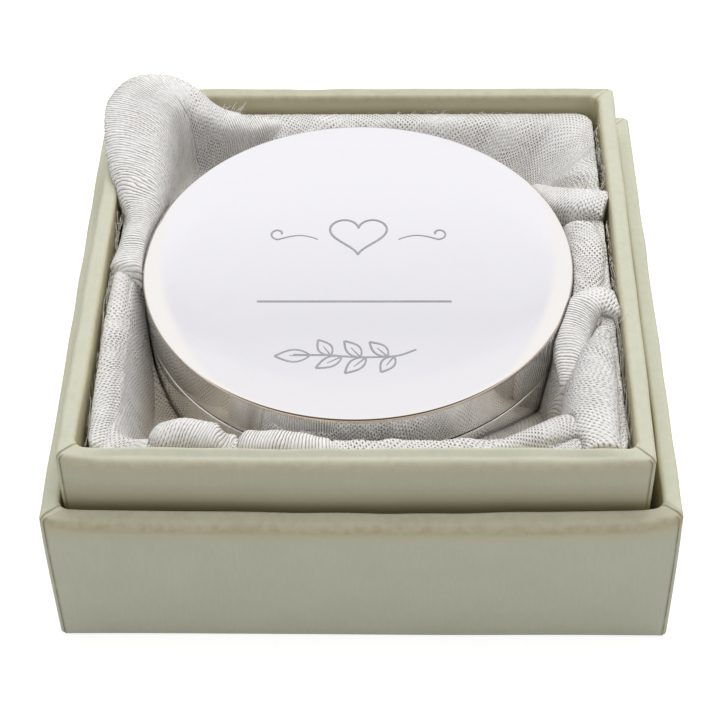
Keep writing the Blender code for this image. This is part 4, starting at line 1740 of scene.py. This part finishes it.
@dataclass
class Engraving:
    """Fine engraved ornament on the lid, placed from the lid's centre."""

    stroke: float = 0.00030
    proud: float = 0.000012
    heart_place: Point = (0.0, 0.0050)
    heart_size: float = 0.0074
    scroll_place: Point = (0.0052, 0.0040)
    scroll_length: float = 0.0052
    scroll_rise: float = 0.0009
    curl: float = 0.0011
    rule: tuple[Point, Point] = ((-0.0125, -0.0075), (0.0125, -0.0075))
    leaves: tuple[Leaf, ...] = (
        Leaf((-0.00553, -0.01688), (-0.00985, -0.01703), 0.00105, 0.00100),
        Leaf((-0.00300, -0.01690), (-0.00462, -0.01425), 0.00085, 0.00085),
        Leaf((-0.00165, -0.01710), (-0.00478, -0.01905), 0.00080, 0.00080),
        Leaf((0.00062, -0.01720), (-0.00140, -0.01445), 0.00080, 0.00090),
        Leaf((0.00130, -0.01725), (-0.00122, -0.01990), 0.00080, 0.00090),
        Leaf((0.00395, -0.01710), (0.00168, -0.01462), 0.00075, 0.00090),
        Leaf((0.00470, -0.01705), (0.00312, -0.01972), 0.00080, 0.00085),
    )
    stem: tuple[Point, ...] = (
        (-0.00760, -0.01682), (-0.00553, -0.01685), (-0.00300, -0.01688), (-0.00100, -0.01712),
        (0.00130, -0.01722), (0.00395, -0.01712), (0.00560, -0.01680), (0.00740, -0.01590),
    )

    def pen(self, places: np.ndarray, start: float, end: float) -> np.ndarray:
        """Give a line of places a width that runs from one share of the stroke to another."""
        return np.column_stack([places, self.stroke * np.linspace(start, end, len(places))])

    def leaf_strokes(self, leaf: Leaf) -> list[np.ndarray]:
        """Both sides of a leaf and its short midrib.

        Formula: a side is root + t (tip - root) + bow * sin(pi t) times a lean to the root, along
        the normal; the midrib is the first part of the straight line.

        Args:
            leaf: The leaf.

        Returns:
            Its strokes.
        """
        root, tip = np.array(leaf.root), np.array(leaf.tip)
        share = np.linspace(0.0, 1.0, 22)[:, None]
        axis = tip - root
        normal = np.array([-axis[1], axis[0]]) / np.linalg.norm(axis)
        bow = np.sin(math.pi * np.power(share, 0.85))
        sides = [root + share * axis + reach * bow * normal for reach in (leaf.left, -leaf.right)]
        rib = root + np.linspace(0.0, 0.58, 8)[:, None] * axis
        return [*(self.pen(side, 0.75, 1.0) for side in sides), self.pen(rib, 0.85, 0.35)]

    def heart(self) -> list[np.ndarray]:
        """Outlined heart, a stroke for each half.

        Formula: x = 16 sin^3 t, y = 13 cos t - 5 cos 2t - 2 cos 3t - cos 4t, scaled to size.

        Returns:
            Its strokes.
        """
        t = np.linspace(0.0, math.pi, 46)
        x = 16.0 * np.sin(t) ** 3
        y = 13.0 * np.cos(t) - 5.0 * np.cos(2 * t) - 2.0 * np.cos(3 * t) - np.cos(4 * t)
        halves = [np.column_stack([side * x, y]) * self.heart_size / 32.0 for side in (1.0, -1.0)]
        return [self.pen(half + np.array(self.heart_place), 1.0, 1.0) for half in halves]

    def scroll(self, side: float) -> np.ndarray:
        """A tapered line that ends in a small curl.

        Formula: along the line y rises as a half wave; the curl's radius shrinks with its turn.

        Args:
            side: -1 for the scroll to the left of the heart, and 1 to the right.

        Returns:
            Its stroke.
        """
        share = np.linspace(0.0, 1.0, 40)
        x, y = side * self.scroll_place[0], self.scroll_place[1]
        wave = self.scroll_rise * np.sin(math.pi * share) * (1.0 - 0.3 * share)
        run = np.column_stack([x + side * self.scroll_length * share, y + wave])
        turn = np.linspace(0.0, 1.55 * math.pi, 36)
        radius = self.curl * (1.0 - 0.62 * turn / turn[-1])
        end = run[-1] + np.array([0.0, self.curl])
        curl = end + np.column_stack([side * radius * np.sin(turn), -radius * np.cos(turn)])
        return self.pen(np.concatenate([run[:-1], curl]), 0.45, 1.0)

    def build(self, material: Material) -> None:
        """Make every stroke as thin strips a hair above the lid's mirror.

        Args:
            material: The engraved finish.
        """
        centre, _, _, top = place_of("lid_shell")
        strokes = [self.pen(smooth_line(self.stem, 60), 1.0, 0.9)]
        for leaf in self.leaves:
            strokes += self.leaf_strokes(leaf)
        strokes += [*self.heart(), self.scroll(-1.0), self.scroll(1.0)]
        strokes += [self.pen(line(*self.rule, 40), 1.0, 1.0)]
        placed = [stroke + np.append(centre, 0.0) for stroke in strokes]
        item = ribbons("lid_engraving", placed, top + self.proud)
        settle(item, material, Body.LID, Slot.SILVER)


@dataclass
class Studio:
    """Pale floor, soft light and the camera at the photograph's angle."""

    focal_pixels: float = 1844.214
    sensor: float = 36.0
    target: Triple = (-0.000187, -0.00919, 0.020)
    azimuth: float = 1.809
    elevation: float = 46.013
    roll: float = -1.269
    distance: float = 0.235338
    floor_size: float = 3.0
    floor_seen: Colour = (0.42, 0.42, 0.42)
    floor_hidden: Colour = (0.80, 0.80, 0.79)
    floor_glow: float = 0.80
    floor_dim: Point = (0.38, 0.34)
    floor_dim_reach: Point = (0.09, 0.30)
    ambient: float = 0.52
    plain: Colour = (1.0, 0.995, 0.985)
    white: Colour = (1.0, 1.0, 1.0)
    beside: Colour = (0.995, 0.98, 0.965)
    front: Colour = (0.07, 0.048, 0.030)
    wall: tuple[tuple[float, Colour], ...] = (
        (0.00, (0.80, 0.80, 0.81)),
        (0.60, (1.00, 0.995, 1.045)),
        (0.655, (0.985, 0.98, 1.03)),
        (0.690, (0.905, 0.90, 0.96)),
        (0.705, (0.86, 0.855, 0.915)),
        (0.735, (0.93, 0.925, 0.968)),
        (0.800, (0.95, 0.94, 0.975)),
    )
    wall_turn: float = 1.8
    wall_edge: Point = (10.5, 12.0)
    wall_top: Point = (0.82, 0.90)
    front_ahead: Point = (-0.08, -0.30)
    front_rise: Point = (0.36, 0.50)
    front_share: float = 0.95
    key_power: float = 2.75
    key_place: Triple = (0.060, 0.22, 0.56)
    key_size: float = 0.55

    def camera(self) -> None:
        """Place the camera from its angles about the target."""
        azimuth, elevation = math.radians(self.azimuth), math.radians(self.elevation)
        level = math.cos(elevation)
        back = Vector((math.sin(azimuth) * level, -math.cos(azimuth) * level, math.sin(elevation)))
        right = Vector((0.0, 0.0, 1.0)).cross(back).normalized()
        up = back.cross(right)
        turn = math.radians(self.roll)
        x_axis = right * math.cos(turn) + up * math.sin(turn)
        y_axis = up * math.cos(turn) - right * math.sin(turn)
        lens = bpy.data.cameras.new("camera")
        lens.sensor_width = self.sensor
        lens.lens = self.focal_pixels * self.sensor / PIXELS
        lens.clip_start = 0.01
        item = stand("camera", lens)
        matrix = Matrix((x_axis, y_axis, back)).transposed().to_4x4()
        matrix.translation = Vector(self.target) + back * self.distance
        item.matrix_world = matrix
        bpy.context.scene.camera = item

    def floor(self) -> None:
        """A plain floor that shows white to the camera and keeps the object's shadow.

        Formula: mirrors see it less bright, by a first and a further part of floor_dim, the
        further one rising with the distance from the object.
        """
        half = self.floor_size / 2.0
        rows = [[(x, y, 0.0) for x in (-half, half)] for y in (-half, half)]
        item = surface("floor", np.array(rows))
        material, web = start_material("floor")
        web.tree.nodes.remove(web.tree.nodes["Principled BSDF"])
        path = web.add("LightPath").outputs
        seen = web.math("MAXIMUM", path["Is Camera Ray"], path["Is Glossy Ray"])
        seen = web.math("MAXIMUM", seen, path["Is Transmission Ray"])
        tone = web.mix(seen, self.floor_hidden, self.floor_seen)
        diffuse = web.add("BsdfDiffuse", {"Color": tone})
        far = web.add("VectorMath", {0: web.where()}, operation="LENGTH").outputs[1]
        away = web.ramp(far, *self.floor_dim_reach)
        dim = web.times(path["Is Glossy Ray"], web.line(away, self.floor_dim[1], self.floor_dim[0]))
        strength = web.math("SUBTRACT", web.times(seen, self.floor_glow), dim)
        glow = web.add("Emission", {"Color": self.white, "Strength": strength})
        both = web.add("AddShader", {0: diffuse.outputs[0], 1: glow.outputs[0]})
        web.fill(web.tree.nodes["Material Output"], {0: both.outputs[0]})
        item.data.materials.append(material)

    def world(self) -> None:
        """White to the camera, a soft studio wall to mirrors, a plain level to everything else.

        Formula: the wall's colour runs by stops over the height of the direction. It gives way to
        a warm tone beside and overhead, and to a dark one low at the front.
        """
        world = bpy.data.worlds.new("studio")
        world.use_nodes = True
        bpy.context.scene.world = world
        web = Web(world.node_tree)
        path = web.add("LightPath").outputs
        way = web.add("TexCoord").outputs["Generated"]
        across, ahead, rise = web.add("SeparateXYZ", {0: way}).outputs
        wall = web.add("ValToRGB", {0: rise})
        elements = wall.color_ramp.elements
        while len(elements) < len(self.wall):
            elements.new(0.5)
        for element, (place, colour) in zip(elements, self.wall):
            element.position, element.color = place, (*colour, 1.0)
        turned = math.radians(self.wall_turn)
        sideways = web.math("ADD", web.math("ARCTAN2", across, ahead), turned)
        sideways = web.math("ABSOLUTE", sideways)
        beside = web.ramp(sideways, *(math.radians(angle) for angle in self.wall_edge))
        beside = web.math("MAXIMUM", beside, web.ramp(rise, *self.wall_top))
        colour = web.mix(beside, wall.outputs[0], self.beside)
        front = web.times(web.ramp(ahead, *self.front_ahead), web.ramp(rise, *self.front_rise))
        colour = web.mix(web.times(front, self.front_share), colour, self.front)
        glossy, plain, white = (
            web.add("Background", {"Color": tone, "Strength": strength}).outputs[0]
            for tone, strength in ((colour, 1.0), (self.plain, self.ambient), (self.white, 1.0))
        )
        first = web.add("MixShader", {0: path["Is Glossy Ray"], 1: plain, 2: glossy}).outputs[0]
        seen = web.math("MAXIMUM", path["Is Camera Ray"], path["Is Transmission Ray"])
        second = web.add("MixShader", {0: seen, 1: first, 2: white}).outputs[0]
        web.fill(world.node_tree.nodes["World Output"], {0: second})

    def lights(self) -> None:
        """One large soft light overhead."""
        light = bpy.data.lights.new("overhead", "AREA")
        light.shape, light.size, light.energy = "SQUARE", self.key_size, self.key_power
        item = stand("overhead", light)
        item.location = self.key_place
        item.rotation_euler = Vector(item.location).to_track_quat("Z", "Y").to_euler()
        item.visible_glossy = False

    def build(self) -> None:
        """Set the whole studio and the view settings."""
        self.camera()
        self.floor()
        self.world()
        self.lights()
        bpy.context.scene.view_settings.view_transform = "Standard"


def dress_frame_nodes(materials: dict[Slot, Material]) -> None:
    """Give every CAD node that still shows the finish of its slot.

    Args:
        materials: Material by slot.
    """
    slots = {s["node"]: s["material_slot"] for s in frame["record"]["subparts"]}
    for name, node in frame["nodes"].items():
        if not node.hide_render:
            node.data.materials.clear()
            node.data.materials.append(materials[Slot(slots[name])])


def main() -> None:
    """Build the studio, then every piece."""
    logging.basicConfig(level=logging.INFO, format="%(name)s %(message)s")
    Studio().build()
    effects = Effects()
    finishes = {
        Slot.PAPER: PaperFinish(),
        Slot.BOARD: BoardFinish(Slot.BOARD, (0.27, 0.25, 0.215), (0.20, 0.185, 0.155)),
        Slot.TAPE: BoardFinish(Slot.TAPE, (0.42, 0.27, 0.14), (0.36, 0.225, 0.115)),
        Slot.CARD: BoardFinish(Slot.CARD, (0.66, 0.645, 0.60), (0.58, 0.565, 0.52)),
        Slot.GAUZE: GauzeFinish(),
        Slot.SILVER: SilverFinish(),
        Slot.VELVET: VelvetFinish(),
    }
    materials = {slot: finish.build(effects) for slot, finish in finishes.items()}
    PaperTray(
        "outer", Body.OUTER_TRAY, seed=11, front_bow=0.00042, front_sag=0.00025,
        front_shift=0.00030, corner_pull=(0.0005, 0.0010), front_painted_shade=0.04, rim_painted_shade=0.42,
        rim_painted_warm=0.9,
    ).build(materials)
    # The painted shade of the inner tray, darker and warmer, fades out a little above the outer
    # one's rim.
    PaperTray(
        "inner", Body.INNER_TRAY, seed=23, front_bow=0.00010, front_sag=0.00010,
        front_shift=-0.00030, corner_pull=(0.0007, 0.0), front_painted_shade=0.12, rim_painted_shade=0.0,
        rim_painted_warm=0.5, shut_level=place_of("outer_wrap")[3] + 0.0045,
    ).build(materials)
    nest = GauzeNest()
    sheet = nest.build(materials[Slot.GAUZE])
    thread = BoardFinish(Slot.GAUZE, (0.74, 0.72, 0.68), (0.52, 0.48, 0.42))
    threads = Fringe().build(thread.build(effects), nest)
    box, silver, velvet = RoundBox(), materials[Slot.SILVER], materials[Slot.VELVET]
    box.lid(silver)
    box.base(silver)
    box.ring(silver)
    box.pad("base_pad_velvet", "base_pad_card", Body.ROUND_BASE, velvet)
    box.pad("lid_pad_velvet", "lid_pad_card", Body.LID, velvet)
    box.lining(velvet)
    Engraving().build(EngravedFinish().build(effects))
    dress_frame_nodes(materials)


if __name__ == "__main__":
    main()
